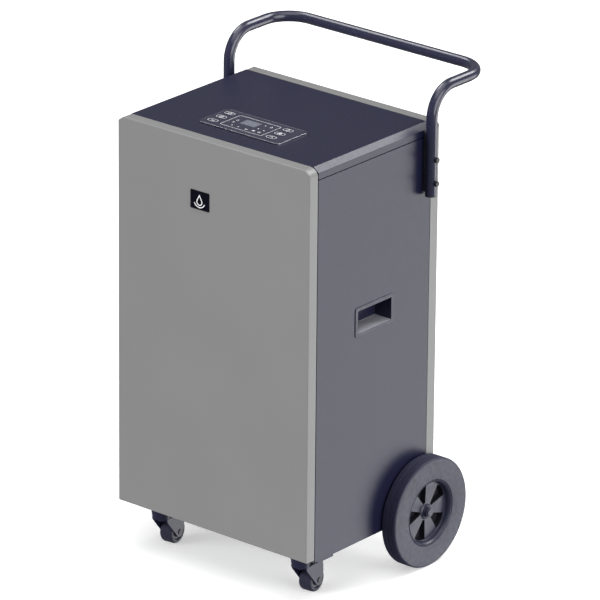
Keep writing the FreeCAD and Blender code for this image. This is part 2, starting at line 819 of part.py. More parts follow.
def fork_shape():
    """A swivel fork about its own kingpin axis, at floor level: crown, bearing cup and two cheeks."""
    trail = value("caster_trail")
    wheel = value("caster_wheel / 2")
    inner = value("caster_wheel_width / 2 + 1.2")
    cheek = 2.5
    roof = value("caster_wheel + 12.3")
    top = value(f"{BASE} - plate_thickness - 0.4")
    outer = inner + cheek
    nose = -7
    cup = Part.makeCone(value("kingpin / 2 + 13"), value("kingpin / 2 + 17"), top - roof - 3, Vector(0, 0, roof + 3))
    crown = Part.makeBox(2 * outer, trail + 12 - nose, 3, Vector(-outer, nose, roof))
    shape = cup.fuse(crown)
    boss = [math.radians(angle) for angle in range(-150, 1, 25)]
    edge = [(nose, roof + 3), (nose + 2, roof - 4)]
    edge += [(trail + 11 * math.cos(angle), wheel + 11 * math.sin(angle)) for angle in boss]
    edge += [(trail + 14.5, wheel + 9), (trail + 15, wheel + 18), (trail + 14.5, wheel + 27), (trail + 12, roof + 3)]
    for side in (-1, 1):
        corners = [Vector(side * inner, y, z) for y, z in edge]
        profile = Part.Face(Part.makePolygon(corners + corners[:1]))
        shape = shape.fuse(profile.extrude(Vector(side * cheek, 0, 0)))
    pin_hole = Part.makeCylinder(value("kingpin / 2 + running_slack"), top, Vector(0, 0, roof - 1))
    axle_start = Vector(-outer - 1, trail, wheel)
    axle_hole = Part.makeCylinder(value("caster_axle / 2"), 2 * outer + 2, axle_start, Vector(1, 0, 0))
    return shape.cut(pin_hole).cut(axle_hole).removeSplitter()


def caster_axle_shape():
    trail = value("caster_trail")
    wheel = value("caster_wheel / 2")
    outer = value("caster_wheel_width / 2 + 1.2") + 2.5
    pin = Part.makeCylinder(value("caster_axle / 2"), 2 * outer + 2, Vector(-outer - 1, trail, wheel), Vector(1, 0, 0))
    for start in (-outer - 1.5, outer):
        head = Part.makeCylinder(value("caster_axle / 2 + 1.5"), 1.5, Vector(start, trail, wheel), Vector(1, 0, 0))
        pin = pin.fuse(head)
    return pin


def caster_wheel(label):
    """A moulded wheel with a crowned tread, turned about its bore."""
    body = new_body(label)
    section = sketch_on(body, "XY_Plane")
    half = "(caster_wheel_width / 2)"
    outer = "(caster_wheel / 2)"
    bore = "(caster_axle / 2 + running_slack)"
    right = [
        (half, bore),
        (half, "caster_axle / 2 + 6"),
        (f"{half} - 3", "caster_axle / 2 + 8"),
        (f"{half} - 3", f"{outer} - 9"),
        (half, f"{outer} - 7"),
        (half, f"{outer} - 4"),
        (f"{half} - 1.2", f"{outer} - 1.4"),
        (f"{half} - 4", f"{outer} - 0.2"),
        (f"{half} - 5", outer),
    ]
    left = [(f"-({x})", y) for x, y in reversed(right)]
    outline(section, right + left)
    turn_profile(body, section)
    return body


def caster(side):
    """One swivel caster: fork, axle and wheel, turned a little from straight ahead."""
    name = side_name(side)
    turn = Rotation(Vector(0, 0, 1), value("caster_turn"))
    x = f"{side} * caster_spread / 2"
    for label, shape in (("fork", fork_shape()), ("axle", caster_axle_shape())):
        piece = formed(f"{name}_caster_{label}", shape)
        piece.Placement = Placement(point(x, CASTER_Y, "0"), turn)
    wheel = caster_wheel(f"{name}_caster_wheel")
    wheel.Placement = Placement(Vector(), turn)
    move_to(wheel, f"{x} - caster_trail * sin(caster_turn * 1 deg)",
            f"{CASTER_Y} + caster_trail * cos(caster_turn * 1 deg)", "caster_wheel / 2")


# ---------------------------------------------------------------- grips and badge

def side_grip(label, side):
    """A recessed finger grip: a rounded flange outside the sheet and a cup inside it."""
    body = new_body(label)
    middle = f"({FRONT} + grip_setback)"
    level = f"({BOTTOM} + grip_level)"
    half = "(grip_length / 2)"
    rise = "(grip_height / 2)"
    side_level = SIDE if side > 0 else f"-{SIDE}"
    lip = sketch_on(body, "YZ_Plane", side_level)
    rectangle(lip, f"{middle} - {half}", f"{middle} + {half}", f"{level} - {rise}", f"{level} + {rise}")
    solid = pad(body, lip, "gauge", side < 0)
    solid = soften(body, solid, "grip_round", runs_along(Vector(1, 0, 0)))
    cup = sketch_on(body, "YZ_Plane", side_level)
    shrink = "(grip_rim - grip_wall)"
    rectangle(cup, f"{middle} - {half} + {shrink}", f"{middle} + {half} - {shrink}",
              f"{level} - {rise} + {shrink}", f"{level} + {rise} - {shrink}")
    pad(body, cup, "grip_depth + grip_wall - gauge", side > 0)
    mouth = sketch_on(body, "YZ_Plane", f"{side_level} + {side} * gauge")
    rectangle(mouth, f"{middle} - {half} + grip_rim", f"{middle} + {half} - grip_rim",
              f"{level} - {rise} + grip_rim", f"{level} + {rise} - grip_rim")
    pocket(body, mouth, "grip_depth", side < 0)


def badge():
    body = new_body("badge")
    face = sketch_on(body, "XZ_Plane", f"-{FRONT}")
    level = f"({TOP} - badge_drop)"
    rectangle(face, "badge_offset - badge_width / 2", "badge_offset + badge_width / 2",
              f"{level} - badge_height / 2", f"{level} + badge_height / 2")
    solid = pad(body, face, "badge_thickness")
    soften(body, solid, "1.5", runs_along(Vector(0, 1, 0)))


# ---------------------------------------------------------------- controls

def rounded_plate(label, inset, low, thickness):
    """A plate the shape of the control panel, shrunk by an inset, with rounded corners."""
    body = new_body(label)
    face = sketch_on(body, "XY_Plane", low)
    rectangle(face, f"-(bezel_width / 2 - {inset})", f"bezel_width / 2 - {inset}",
              f"{BEZEL_FRONT} + {inset}", f"{BEZEL_REAR} - {inset}")
    solid = pad(body, face, thickness)
    soften(body, solid, f"bezel_round - {inset} * 0.9", runs_along(Vector(0, 0, 1)))
    return body


def control_bezel():
    """A raised frame round the control panel."""
    body = rounded_plate("control_bezel", "0", TOP, "bezel_height")
    inner = sketch_on(body, "XY_Plane", f"{TOP} + bezel_height")
    inset = "(bezel_ring - 0.2)"
    rectangle(inner, f"-(bezel_width / 2 - {inset})", f"bezel_width / 2 - {inset}",
              f"{BEZEL_FRONT} + {inset}", f"{BEZEL_REAR} - {inset}")
    pocket(body, inner, "bezel_height * 2")


def each_key():
    """Name and centre of the six keys."""
    names = (("key_down", "key_timer", "key_power"), ("key_up", "key_fan", "key_mode"))
    for column, labels in zip(("left_key_column", "right_key_column"), names):
        for row, label in zip(KEY_ROWS, labels):
            yield label, column, row


def control_overlay():
    """The printed panel, with an opening for each key and one for the display."""
    body = rounded_plate("control_overlay", "bezel_ring", TOP, "overlay_thickness")
    holes = sketch_on(body, "XY_Plane", OVERLAY_TOP)
    for _, x, y in each_key():
        oval(holes, x, y, "(key_length + 2 * key_slack)", "(key_width + 2 * key_slack)")
    x_range, y_range = display_place("0.2")
    rectangle(holes, *x_range, *y_range)
    pocket(body, holes, "overlay_thickness * 2")


def display_place(margin):
    """The display's window in plan, grown by a margin."""
    middle = f"({FRONT} + display_setback)"
    x_range = (f"display_offset - display_width / 2 - {margin}", f"display_offset + display_width / 2 + {margin}")
    y_range = (f"{middle} - display_depth / 2 - {margin}", f"{middle} + display_depth / 2 + {margin}")
    return x_range, y_range


def display_window():
    x_range, y_range = display_place("0")
    keep(block("display_window", x_range, y_range, (f"{TOP} - 10.4", OVERLAY_TOP)), "display_window")


def keys():
    """Six oval keys, each with a flange under the overlay and a stem above its switch."""
    for label, x, y in each_key():
        body = new_body(label)
        flange = sketch_on(body, "XY_Plane", f"{TOP} - 1.5")
        oval(flange, x, y, "(key_length + 2.4)", "(key_width + 2.4)")
        pad(body, flange, "1.2")
        crown = sketch_on(body, "XY_Plane", f"{TOP} - 1.5")
        oval(crown, x, y, "key_length", "key_width")
        pad(body, crown, "1.5 + overlay_thickness + key_proud")
        stem = sketch_on(body, "XY_Plane", f"{TOP} - 1.5")
        ring(stem, x, y, "2.5")
        pad(body, stem, "2", True)


def control_board():
    """The circuit board under the keys, on four posts, with a switch below each key."""
    inset = "(bezel_ring + 2)"
    top_face = f"({TOP} - 10.4)"
    x_edge = f"(bezel_width / 2 - {inset})"
    y_edges = (f"{BEZEL_FRONT} + {inset}", f"{BEZEL_REAR} - {inset}")
    low = f"({top_face} - 1.6)"
    pieces = [block("board_plate", (f"-{x_edge}", x_edge), y_edges, (low, top_face))]
    for number, (x, y) in enumerate([(sign + x_edge, y) for sign in ("-", "") for y in y_edges]):
        pieces.append(rod(f"board_post_{number}", "2.5", (x, y, low), f"{TOP} - gauge - {low}"))
    for label, x, y in each_key():
        pieces.append(rod(f"{label}_switch", "3", (x, y, f"{top_face} - 0.5"), "5.5"))
    keep(fuse("control_board", *pieces), "control_board")


# ---------------------------------------------------------------- air path

def louvres(name, width, level, height, depth):
    """Sloping blades between the sides of a grille, as one shape."""
    pitch = value("louvre_pitch")
    rows = int(value(height) // pitch)
    first = value(f"{level} - {height} / 2") + (value(height) - (rows - 1) * pitch) / 2
    rear = value(f"{REAR} + grille_thickness")
    blade_depth = value(depth)
    half = value(f"{width} / 2") - 1
    blades = []
    for row in range(rows):
        z = first + row * pitch
        corners = [
            Vector(-half, rear, z - 5),
            Vector(-half, rear - blade_depth, z + 4),
            Vector(-half, rear - blade_depth, z + 6),
            Vector(-half, rear, z - 2.5),
        ]
        blades.append(Part.Face(Part.makePolygon(corners + corners[:1])).extrude(Vector(2 * half, 0, 0)))
    return blades


def grille_shape(width, level, height, depth):
    """A frame with a thin flange on the rear face, a collar in the window, and louvres."""
    flange = value("grille_flange")
    thickness = value("grille_thickness")
    rear = value(REAR)
    half, low, tall = value(f"{width} / 2"), value(f"{level} - {height} / 2"), value(height)
    clear = 0.6
    wall = 4
    outer = Part.makeBox(2 * (half + flange), thickness, tall + 2 * flange, Vector(-half - flange, rear, low - flange))
    collar = Part.makeBox(2 * (half - clear), value(depth), tall - 2 * clear,
                          Vector(-half + clear, rear + thickness - value(depth), low + clear))
    hole = Part.makeBox(2 * (half - wall), value(depth) * 3, tall - 2 * wall,
                        Vector(-half + wall, rear - value(depth) * 2, low + wall))
    frame = outer.fuse(collar).cut(hole)
    mullions = []
    for place in (-half / 3, half / 3):
        corner = Vector(place - 1.5, rear + thickness - value(depth), low + wall - 0.5)
        mullions.append(Part.makeBox(3, value(depth), tall - 2 * wall + 1, corner))
    return frame.multiFuse(louvres("blade", f"({width} - 6)", level, height, depth) + mullions).removeSplitter()


def grilles():
    formed("intake_grille", grille_shape("intake_width", INTAKE_LEVEL, INTAKE_HEIGHT, "11"))
    formed("outlet_grille", grille_shape("outlet_width", "outlet_level", "outlet_height", "13"))


def filter_media():
    """The air filter, held in the back of the intake grille."""
    width = "(intake_width / 2 - 5)"
    face = f"({REAR} + grille_thickness - 11)"
    keep(block("filter_media", (f"-{width}", width), (f"{face} - filter_thickness", face),
               (f"{COIL_FLOOR} + 5", f"{INTAKE_HIGH} - 5")), "filter_media")


def coil(label, front):
    """A finned coil block with return bends on both ends."""
    half = value("coil_width / 2")
    low, tall, deep = value(COIL_FLOOR), value(INTAKE_HEIGHT), value("coil_depth")
    y = value(front)
    shape = Part.makeBox(2 * half, deep, tall, Vector(-half, y, low))
    rows = int(value("coil_rows"))
    step = tall / rows
    for row in range(rows):
        z = low + step * (row + 0.5)
        for side in (-1, 1):
            bend = Part.makeTorus(10, 4, Vector(side * half, y + deep / 2, z), Vector(0, 1, 0))
            shape = shape.fuse(bend)
    formed(label, shape.removeSplitter())


def fan_shroud():
    """A plate in front of the coils with a bell-mouth ring and a spider for the motor."""
    rear = value(SHROUD_REAR)
    level = value(INTAKE_LEVEL)
    half = value("coil_width / 2 + 20")
    low, high = value(DECK_TOP), value(f"{INTAKE_HIGH} + 20")
    opening = value(f"{FAN} / 2 + 6")
    plate = Part.makeBox(2 * half, 2, high - low, Vector(-half, rear - 2, low))
    centre = Vector(0, rear, level)
    back = Vector(0, -1, 0)
    ring_outer = Part.makeCylinder(opening + 2, 34, centre, back)
    shape = plate.fuse(ring_outer).cut(Part.makeCylinder(opening, 80, centre + Vector(0, 20, 0), back))
    mount = Part.makeCylinder(value("motor / 2 + 6"), 3, centre - Vector(0, 40, 0), back)
    shape = shape.fuse(mount)
    for angle in (45, 135, 225, 315):
        arm = Part.makeBox(opening - 30, 4, 12, Vector(34, rear - 43, level - 6))
        arm.rotate(centre, Vector(0, 1, 0), angle)
        brace = Part.makeBox(6, 15, 12, Vector(opening - 2, rear - 43, level - 6))
        brace.rotate(centre, Vector(0, 1, 0), angle)
        shape = shape.fuse(arm).fuse(brace)
    shaft_hole = Part.makeCylinder(value("motor_shaft / 2 + 4"), 200, centre, back)
    formed("fan_shroud", shape.cut(shaft_hole).removeSplitter())


def fan_impeller():
    """An axial fan: hub, pitched blades and the shaft that runs into the motor."""
    level = value(INTAKE_LEVEL)
    rear = value(SHROUD_REAR) - 6
    depth = 30
    back = Vector(0, -1, 0)
    centre = Vector(0, rear, level)
    hub_radius = 38
    shape = Part.makeCylinder(hub_radius, depth, centre, back)
    tip = value(f"{FAN} / 2")
    count = int(value("fan_blades"))
    for number in range(count):
        root_line = blade_edge(hub_radius - 2, 30, depth, centre)
        tip_line = blade_edge(tip, 20, depth, centre)
        blade = Part.makeLoft([root_line, tip_line], True, True)
        blade.rotate(centre, Vector(0, 1, 0), 360 * number / count)
        shape = shape.fuse(blade)
    sweep = Part.makeCylinder(tip, depth, centre, back)
    shaft = Part.makeCylinder(value("motor_shaft / 2"), depth + 30, centre, back)
    formed("fan_impeller", shape.common(sweep).fuse(shaft).removeSplitter())


def blade_edge(radius, pitch, depth, centre):
    """The section of a fan blade at one radius: a thin parallelogram across the fan's depth."""
    lean = 0.5 * depth / math.tan(math.radians(pitch))
    lean = min(lean, radius * 0.5)
    corners = [
        Vector(radius, -2, -lean),
        Vector(radius, -depth + 2, lean),
        Vector(radius, -depth + 2, lean + 3),
        Vector(radius, -2, -lean + 3),
    ]
    return Part.makePolygon([centre + corner for corner in corners + corners[:1]])


def fan_motor():
    front = f"({SHROUD_REAR} - 43)"
    can = rod("motor_can", "motor / 2", ("0", f"{front} - 58", INTAKE_LEVEL), "58", "y")
    bore = rod("motor_bore", "motor_shaft / 2 + running_slack", ("0", f"{front} - 30", INTAKE_LEVEL), "30", "y")
    keep(cut("fan_motor", can, bore), "fan_motor")


# ---------------------------------------------------------------- refrigeration and drain

COMPRESSOR_X = "(-100)"
COMPRESSOR_Y = f"({REAR} - 195)"
ACCUMULATOR_X = "(-185)"
ACCUMULATOR_Y = f"({REAR} - 165)"
PIPE_X = f"(-{INNER} + 22)"
DRIER_X = f"(-{INNER} + 42)"
DISCHARGE_Y = f"({CONDENSER_FRONT} + coil_depth / 2)"
SUCTION_Y = f"({EVAPORATOR_FRONT} + coil_depth / 2)"
FEET_TOP = f"({PAN_FLOOR} + 12)"
COMPRESSOR_TOP = f"({FEET_TOP} + 3 + compressor_height)"
ACCUMULATOR_TOP = f"({FEET_TOP} + 165)"


def deck_holes():
    """Where pipes and the drain hose pass through the deck, as x, y and radius."""
    return [
        (PIPE_X, DISCHARGE_Y, "line"),
        (PIPE_X, SUCTION_Y, "line"),
        ("drain_offset", f"{REAR} - 65", "hose / 2 + 1"),
    ]


def compressor():
    """A welded shell on a foot plate, with a stub for the discharge line."""
    shell = rod("compressor_shell", "compressor / 2", (COMPRESSOR_X, COMPRESSOR_Y, f"{FEET_TOP} + 3"),
                "compressor_height - 12")
    crown = rod("compressor_crown", "compressor / 2 - 14", (COMPRESSOR_X, COMPRESSOR_Y, f"{FEET_TOP} + 3"),
                "compressor_height - 5")
    stub = rod("compressor_stub", "line / 2", (COMPRESSOR_X, COMPRESSOR_Y, f"{COMPRESSOR_TOP} - 8"), "8")
    plate = block("compressor_plate", (f"{COMPRESSOR_X} - 50", f"{COMPRESSOR_X} + 50"),
                  (f"{COMPRESSOR_Y} - 50", f"{COMPRESSOR_Y} + 50"), (FEET_TOP, f"{FEET_TOP} + 3"))
    keep(fuse("compressor", shell, crown, stub, plate), "compressor")
    feet = []
    for across in (-1, 1):
        for along in (-1, 1):
            x = f"{COMPRESSOR_X} + {across} * 40"
            y = f"{COMPRESSOR_Y} + {along} * 40"
            feet.append(rod(f"foot_{len(feet)}", "9", (x, y, PAN_FLOOR), "12"))
    group("compressor_feet", feet)


def accumulator():
    can = rod("accumulator_can", "accumulator / 2", (ACCUMULATOR_X, ACCUMULATOR_Y, PAN_FLOOR), "165 + 4")
    stub = rod("accumulator_stub", "line / 2", (ACCUMULATOR_X, ACCUMULATOR_Y, f"{PAN_FLOOR} + 100"), "77")
    keep(fuse("suction_accumulator", can, stub), "suction_accumulator")


def coil_level(row):
    """A height between two rows of return bends, where a pipe can join a coil."""
    return f"({COIL_FLOOR} + {row} * {INTAKE_HEIGHT} / coil_rows)"


def refrigerant_lines():
    """Discharge, suction and liquid lines, and the capillary that feeds the evaporator."""
    coil_side = "(-coil_width / 2)"
    drier_low, drier_high = coil_level(2), coil_level(3.4)
    run_up = f"({COMPRESSOR_TOP} + 28)"
    discharge = [
        point(COMPRESSOR_X, COMPRESSOR_Y, COMPRESSOR_TOP),
        point(COMPRESSOR_X, COMPRESSOR_Y, run_up),
        point(PIPE_X, COMPRESSOR_Y, run_up),
        point(PIPE_X, DISCHARGE_Y, run_up),
        point(PIPE_X, DISCHARGE_Y, coil_level(5)),
        point(coil_side, DISCHARGE_Y, coil_level(5)),
    ]
    suction = [
        point(coil_side, SUCTION_Y, coil_level(1)),
        point(PIPE_X, SUCTION_Y, coil_level(1)),
        point(PIPE_X, SUCTION_Y, f"{ACCUMULATOR_TOP} + 40"),
        point(ACCUMULATOR_X, ACCUMULATOR_Y, f"{ACCUMULATOR_TOP} + 40"),
        point(ACCUMULATOR_X, ACCUMULATOR_Y, ACCUMULATOR_TOP),
    ]
    liquid = [
        point(coil_side, DISCHARGE_Y, coil_level(1)),
        point(DRIER_X, DISCHARGE_Y, coil_level(1)),
        point(DRIER_X, DISCHARGE_Y, drier_low),
    ]
    feed = [
        point(DRIER_X, DISCHARGE_Y, drier_high),
        point(DRIER_X, DISCHARGE_Y, coil_level(4)),
        point(DRIER_X, SUCTION_Y, coil_level(4)),
        point(coil_side, SUCTION_Y, coil_level(4)),
    ]
    pipes = [tube_along(route(corners, 10), value("line / 2")) for corners in (discharge, suction, liquid)]
    pipes.append(tube_along(route(feed, 8), value("capillary / 2")))
    formed("refrigerant_lines", Part.makeCompound(pipes))
    keep(rod("filter_drier", "drier / 2", (DRIER_X, DISCHARGE_Y, drier_low), f"{drier_high} - {drier_low}"),
         "filter_drier")


def drip_tray():
    """The condensate tray under both coils, with its outlet stub through the deck."""
    x_edge = "(coil_width / 2 + 32)"
    low = f"({CONDENSER_FRONT} - 2)"
    high = f"({EVAPORATOR_FRONT} + coil_depth + 2)"
    left = "(-coil_width / 2 - 14)"
    outer = block("tray_outer", (left, x_edge), (low, high), (DECK_TOP, f"{DECK_TOP} + 22"))
    well = block("tray_well", (f"{left} + 2", f"{x_edge} - 2"), (f"{low} + 2", f"{high} - 2"),
                 (f"{DECK_TOP} + 2", f"{DECK_TOP} + 40"))
    stub = rod("tray_stub", "hose / 2", ("drain_offset", f"{REAR} - 65", "deck_height - 12"),
               f"{DECK_TOP} - deck_height + 14")
    bore = rod("tray_bore", "hose_bore / 2", ("drain_offset", f"{REAR} - 65", "deck_height - 20"), "60")
    keep(cut("drip_tray", fuse("tray_blank", outer, stub), well, bore), "drip_tray")


def drain():
    """The hose from the tray to the spigot on the rear panel."""
    start = point("drain_offset", f"{REAR} - 65", "deck_height - 12")
    corner = point("drain_offset", f"{REAR} - 65", DRAIN_LEVEL)
    finish = point("drain_offset", f"{REAR} - 25", DRAIN_LEVEL)
    path = route([start, corner, finish], 32)
    hose = tube_along(path, value("hose / 2")).cut(tube_along(path, value("hose_bore / 2")))
    formed("drain_hose", hose)
    at_rear = ("drain_offset", REAR, DRAIN_LEVEL)
    inside = ("drain_offset", f"{REAR} - 25", DRAIN_LEVEL)
    pipe = rod("spigot_pipe", "hose / 2", inside, "25 + spigot_length", "y")
    collar = rod("spigot_collar", "hose / 2 + 6", at_rear, "3", "y")
    bore = rod("spigot_bore", "hose_bore / 2", inside, "30 + spigot_length", "y")
    keep(cut("drain_spigot", fuse("spigot_blank", pipe, collar), bore), "drain_spigot")


def cord_gland():
    """The inlet for the supply cord: flange, dome nut and threaded tail with a cord hole."""
    def at_depth(distance):
        return ("gland_offset", f"{REAR} + {distance}", "gland_level")
    tail = rod("gland_tail", "gland_thread / 2", at_depth("(-12)"), "16", "y")
    nut = rod("gland_nut", "gland_thread / 2 + 4", at_depth("0"), "7", "y")
    dome = rod("gland_dome", "gland_thread / 2 + 1", at_depth("7"), "9", "y")
    hole = rod("gland_hole", "cord_hole / 2", at_depth("(-15)"), "40", "y")
    keep(cut("cord_gland", fuse("gland_blank", tail, nut, dome), hole), "cord_gland")


def humidity_sensor():
    """A small sensor box on the shroud's top edge, in the incoming air."""
    low = f"({INTAKE_HIGH} + 20)"
    keep(block("humidity_sensor", ("-20", "20"), (f"{SHROUD_REAR} - 10", f"{SHROUD_REAR} + 8"),
               (low, f"{low} + 26")), "humidity_sensor")


def electrical_box():
    """A closed sheet steel box for the capacitor and relays."""
    low_y = f"({SKIN_FRONT} + 20)"
    shell = block("box_shell", ("40", "200"), (low_y, f"{low_y} + 90"), (PAN_FLOOR, f"{PAN_FLOOR} + 190"))
    room = block("box_room", ("40 + gauge", "200 - gauge"), (f"{low_y} + gauge", f"{low_y} + 90 - gauge"),
                 (f"{PAN_FLOOR} + gauge", f"{PAN_FLOOR} + 190 - gauge"))
    keep(cut("electrical_box", shell, room), "electrical_box")


# ---------------------------------------------------------------- the machine

def build():
    fill_sheet()
    front_panel()
    rear_panel()
    panel_screws()
    side_panel("left_side_panel", -1)
    side_panel("right_side_panel", 1)
    top_cover()
    base_pan()
    corner_posts()
    mid_deck()
    push_handle()
    handle_bolts()
    handle_spacers()
    handle_plugs()
    for name, side in (("left", -1), ("right", 1)):
        wheel_tyre(f"{name}_wheel_tyre", side)
        wheel_rim(f"{name}_wheel_rim", side)
        side_grip(f"{name}_grip", side)
        caster(side)
    wheel_axle()
    axle_nuts()
    caster_plates()
    caster_bolts()
    badge()
    control_bezel()
    control_overlay()
    display_window()
    keys()
    control_board()
    grilles()
    filter_media()
    coil("evaporator", EVAPORATOR_FRONT)
    coil("condenser", CONDENSER_FRONT)
    fan_shroud()
    fan_impeller()
    fan_motor()
    compressor()
    accumulator()
    refrigerant_lines()
    drip_tray()
    drain()
    cord_gland()
    humidity_sensor()
    electrical_box()
    doc.recompute()


def check():
    """Stop before writing if anything failed to build."""
    for thing in doc.Objects:
        if {"Invalid", "Error"} & set(thing.State):
            raise ValueError(f"{thing.Label} failed: {thing.State}")
    for node in nodes:
        if node.Shape.isNull() or not node.Shape.isValid() or not node.Shape.Solids:
            raise ValueError(f"{node.Label} has no valid solid")


def write():
    os.makedirs("parts", exist_ok=True)
    for node in nodes:
        node.Shape.exportStep(os.path.join("parts", node.Label + ".step"))
    print(len(nodes), "pieces written")


build()
check()
write()
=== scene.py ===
import json
import math

import bmesh
import bpy
from mathutils import Matrix, Vector

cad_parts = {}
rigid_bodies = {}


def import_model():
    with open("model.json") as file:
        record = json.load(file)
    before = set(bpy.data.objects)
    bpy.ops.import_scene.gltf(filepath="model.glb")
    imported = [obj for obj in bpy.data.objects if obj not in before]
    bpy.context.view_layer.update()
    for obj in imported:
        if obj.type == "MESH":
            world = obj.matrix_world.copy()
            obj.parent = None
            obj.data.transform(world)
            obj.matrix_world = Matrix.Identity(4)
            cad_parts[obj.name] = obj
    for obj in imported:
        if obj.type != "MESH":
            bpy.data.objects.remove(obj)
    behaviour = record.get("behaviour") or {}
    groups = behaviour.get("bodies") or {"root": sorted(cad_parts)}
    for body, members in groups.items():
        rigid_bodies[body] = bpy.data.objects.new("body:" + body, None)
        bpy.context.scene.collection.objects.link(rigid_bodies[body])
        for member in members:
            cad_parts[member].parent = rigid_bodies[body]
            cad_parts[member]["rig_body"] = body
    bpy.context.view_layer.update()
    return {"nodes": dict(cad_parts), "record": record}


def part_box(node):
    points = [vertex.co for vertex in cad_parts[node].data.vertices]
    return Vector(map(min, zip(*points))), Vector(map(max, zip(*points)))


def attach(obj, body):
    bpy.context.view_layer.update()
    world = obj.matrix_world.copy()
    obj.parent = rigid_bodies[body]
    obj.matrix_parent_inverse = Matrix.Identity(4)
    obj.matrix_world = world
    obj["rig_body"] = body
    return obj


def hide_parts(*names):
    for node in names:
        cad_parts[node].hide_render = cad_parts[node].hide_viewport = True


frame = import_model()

# Looks for the wheeled cabinet dehumidifier. Metres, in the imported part's own frame; the front faces -Y.

scene = bpy.context.scene
slots = {part["node"]: part["material_slot"] for part in frame["record"]["subparts"]}
MM = 0.001
WELD = 0.002 * MM


def low(node):
    """A CAD node's lowest corner."""
    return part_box(node)[0]


def high(node):
    """A CAD node's highest corner."""
    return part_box(node)[1]


def middle(node):
    """The middle of a CAD node's box."""
    return (low(node) + high(node)) / 2


# ---------------------------------------------------------------- camera, light and floor

def make_camera():
    """A long lens at the front right corner, a little above the machine."""
    azimuth, elevation, roll = math.radians(39.668), math.radians(21.459), math.radians(0.531)
    target = Vector((0.0570, -0.0682, 0.5439))
    distance = 12.066
    focal_length = 375.4
    back = Vector((math.sin(azimuth) * math.cos(elevation),
                   -math.cos(azimuth) * math.cos(elevation),
                   math.sin(elevation)))
    level = Vector((math.cos(azimuth), math.sin(azimuth), 0))
    upright = back.cross(level)
    right = level * math.cos(roll) + upright * math.sin(roll)
    up = upright * math.cos(roll) - level * math.sin(roll)
    lens = bpy.data.cameras.new("camera")
    lens.lens = focal_length
    lens.sensor_width = 36
    lens.clip_end = 60
    camera = bpy.data.objects.new("camera", lens)
    scene.collection.objects.link(camera)
    place = Matrix((right, up, back)).transposed().to_4x4()
    place.translation = target + back * distance
    camera.matrix_world = place
    scene.camera = camera


def add_sun(name, direction, strength, spread, diffuse=True, glossy=True):
    """A soft distant lamp that shines from a direction, on matte or shiny reflection or both."""
    lamp = bpy.data.lights.new(name, "SUN")
    lamp.energy = strength
    lamp.angle = math.radians(spread)
    sun = bpy.data.objects.new(name, lamp)
    scene.collection.objects.link(sun)
    sun.rotation_euler = Vector(direction).to_track_quat("Z", "Y").to_euler()
    sun.visible_diffuse = diffuse
    sun.visible_glossy = glossy


def light_scene():
    """A sheen from the right rear, soft fills from the front, right and top, and two lights on upper edges.

    The surround is white to the camera and dim to everything else.
    """
    add_sun("sheen", (0.594, 0.716, -0.34), 1.1, 40)
    add_sun("front_fill", (-0.5, -0.85, 0.15), 2.95, 50, glossy=False)
    add_sun("right_fill", (0.95, -0.1, 0.25), 2.2, 50)
    add_sun("above", (0.1, -0.2, 1.0), 1.6, 60)
    add_sun("glint", (0.17, 0.72, 0.68), 1.8, 30)
    add_sun("rim_light", (-0.62, 0.10, 0.78), 1.3, 30, diffuse=False)
    dim, white = 0.2, 1.0
    world = bpy.data.worlds.new("studio")
    scene.world = world
    world.use_nodes = True
    nodes, links = world.node_tree.nodes, world.node_tree.links
    path = nodes.new("ShaderNodeLightPath")
    level = nodes.new("ShaderNodeMapRange")
    level.inputs["To Min"].default_value = dim
    level.inputs["To Max"].default_value = white
    links.new(path.outputs["Is Camera Ray"], level.inputs["Value"])
    links.new(level.outputs["Result"], nodes["Background"].inputs["Strength"])
    nodes["Background"].inputs["Color"].default_value = (1, 1, 1, 1)
    scene.view_settings.view_transform = "Standard"


def make_floor():
    """A wide pale floor. It takes shadows, lets the low sheen lamp through and sends no light back up."""
    reach = 40
    corners = [(-reach, -reach, 0), (reach, -reach, 0), (reach, reach, 0), (-reach, reach, 0)]
    mesh = bpy.data.meshes.new("floor")
    mesh.from_pydata(corners, [], [(0, 1, 2, 3)])
    floor = bpy.data.objects.new("floor", mesh)
    scene.collection.objects.link(floor)
    floor.visible_diffuse = False
    floor.visible_glossy = False
    floor.visible_shadow = False
    paint = new_material("floor_white", (0.85, 0.85, 0.85), 0.9,
                         Emission_Strength=0.42, Specular_IOR_Level=0.0)
    shader_of(paint).inputs["Emission Color"].default_value = (1, 1, 1, 1)
    mesh.materials.append(paint)


# ---------------------------------------------------------------- material building blocks

def new_material(name, colour, roughness, metallic=0.0, **settings):
    """A Principled material; settings are values of the shader's own sockets."""
    material = bpy.data.materials.new(name)
    material.use_nodes = True
    shader = material.node_tree.nodes["Principled BSDF"]
    shader.inputs["Base Color"].default_value = (*colour, 1)
    shader.inputs["Roughness"].default_value = roughness
    shader.inputs["Metallic"].default_value = metallic
    for socket, number in settings.items():
        shader.inputs[socket.replace("_", " ")].default_value = number
    return material


def add_node(material, kind, **inputs):
    """A shader node; inputs are values of its sockets."""
    node = material.node_tree.nodes.new(kind)
    for socket, number in inputs.items():
        node.inputs[socket.replace("_", " ")].default_value = number
    return node


def link(material, output, target):
    """Join an output to the socket that takes it."""
    material.node_tree.links.new(output, target)


def shader_of(material):
    """The material's Principled shader."""
    return material.node_tree.nodes["Principled BSDF"]


def position_of(material, stretch=(1, 1, 1)):
    """The surface's own coordinates in metres, multiplied along each axis."""
    place = add_node(material, "ShaderNodeTexCoord")
    scaling = add_node(material, "ShaderNodeMapping", Scale=stretch)
    link(material, place.outputs["Object"], scaling.inputs["Vector"])
    return scaling.outputs["Vector"]


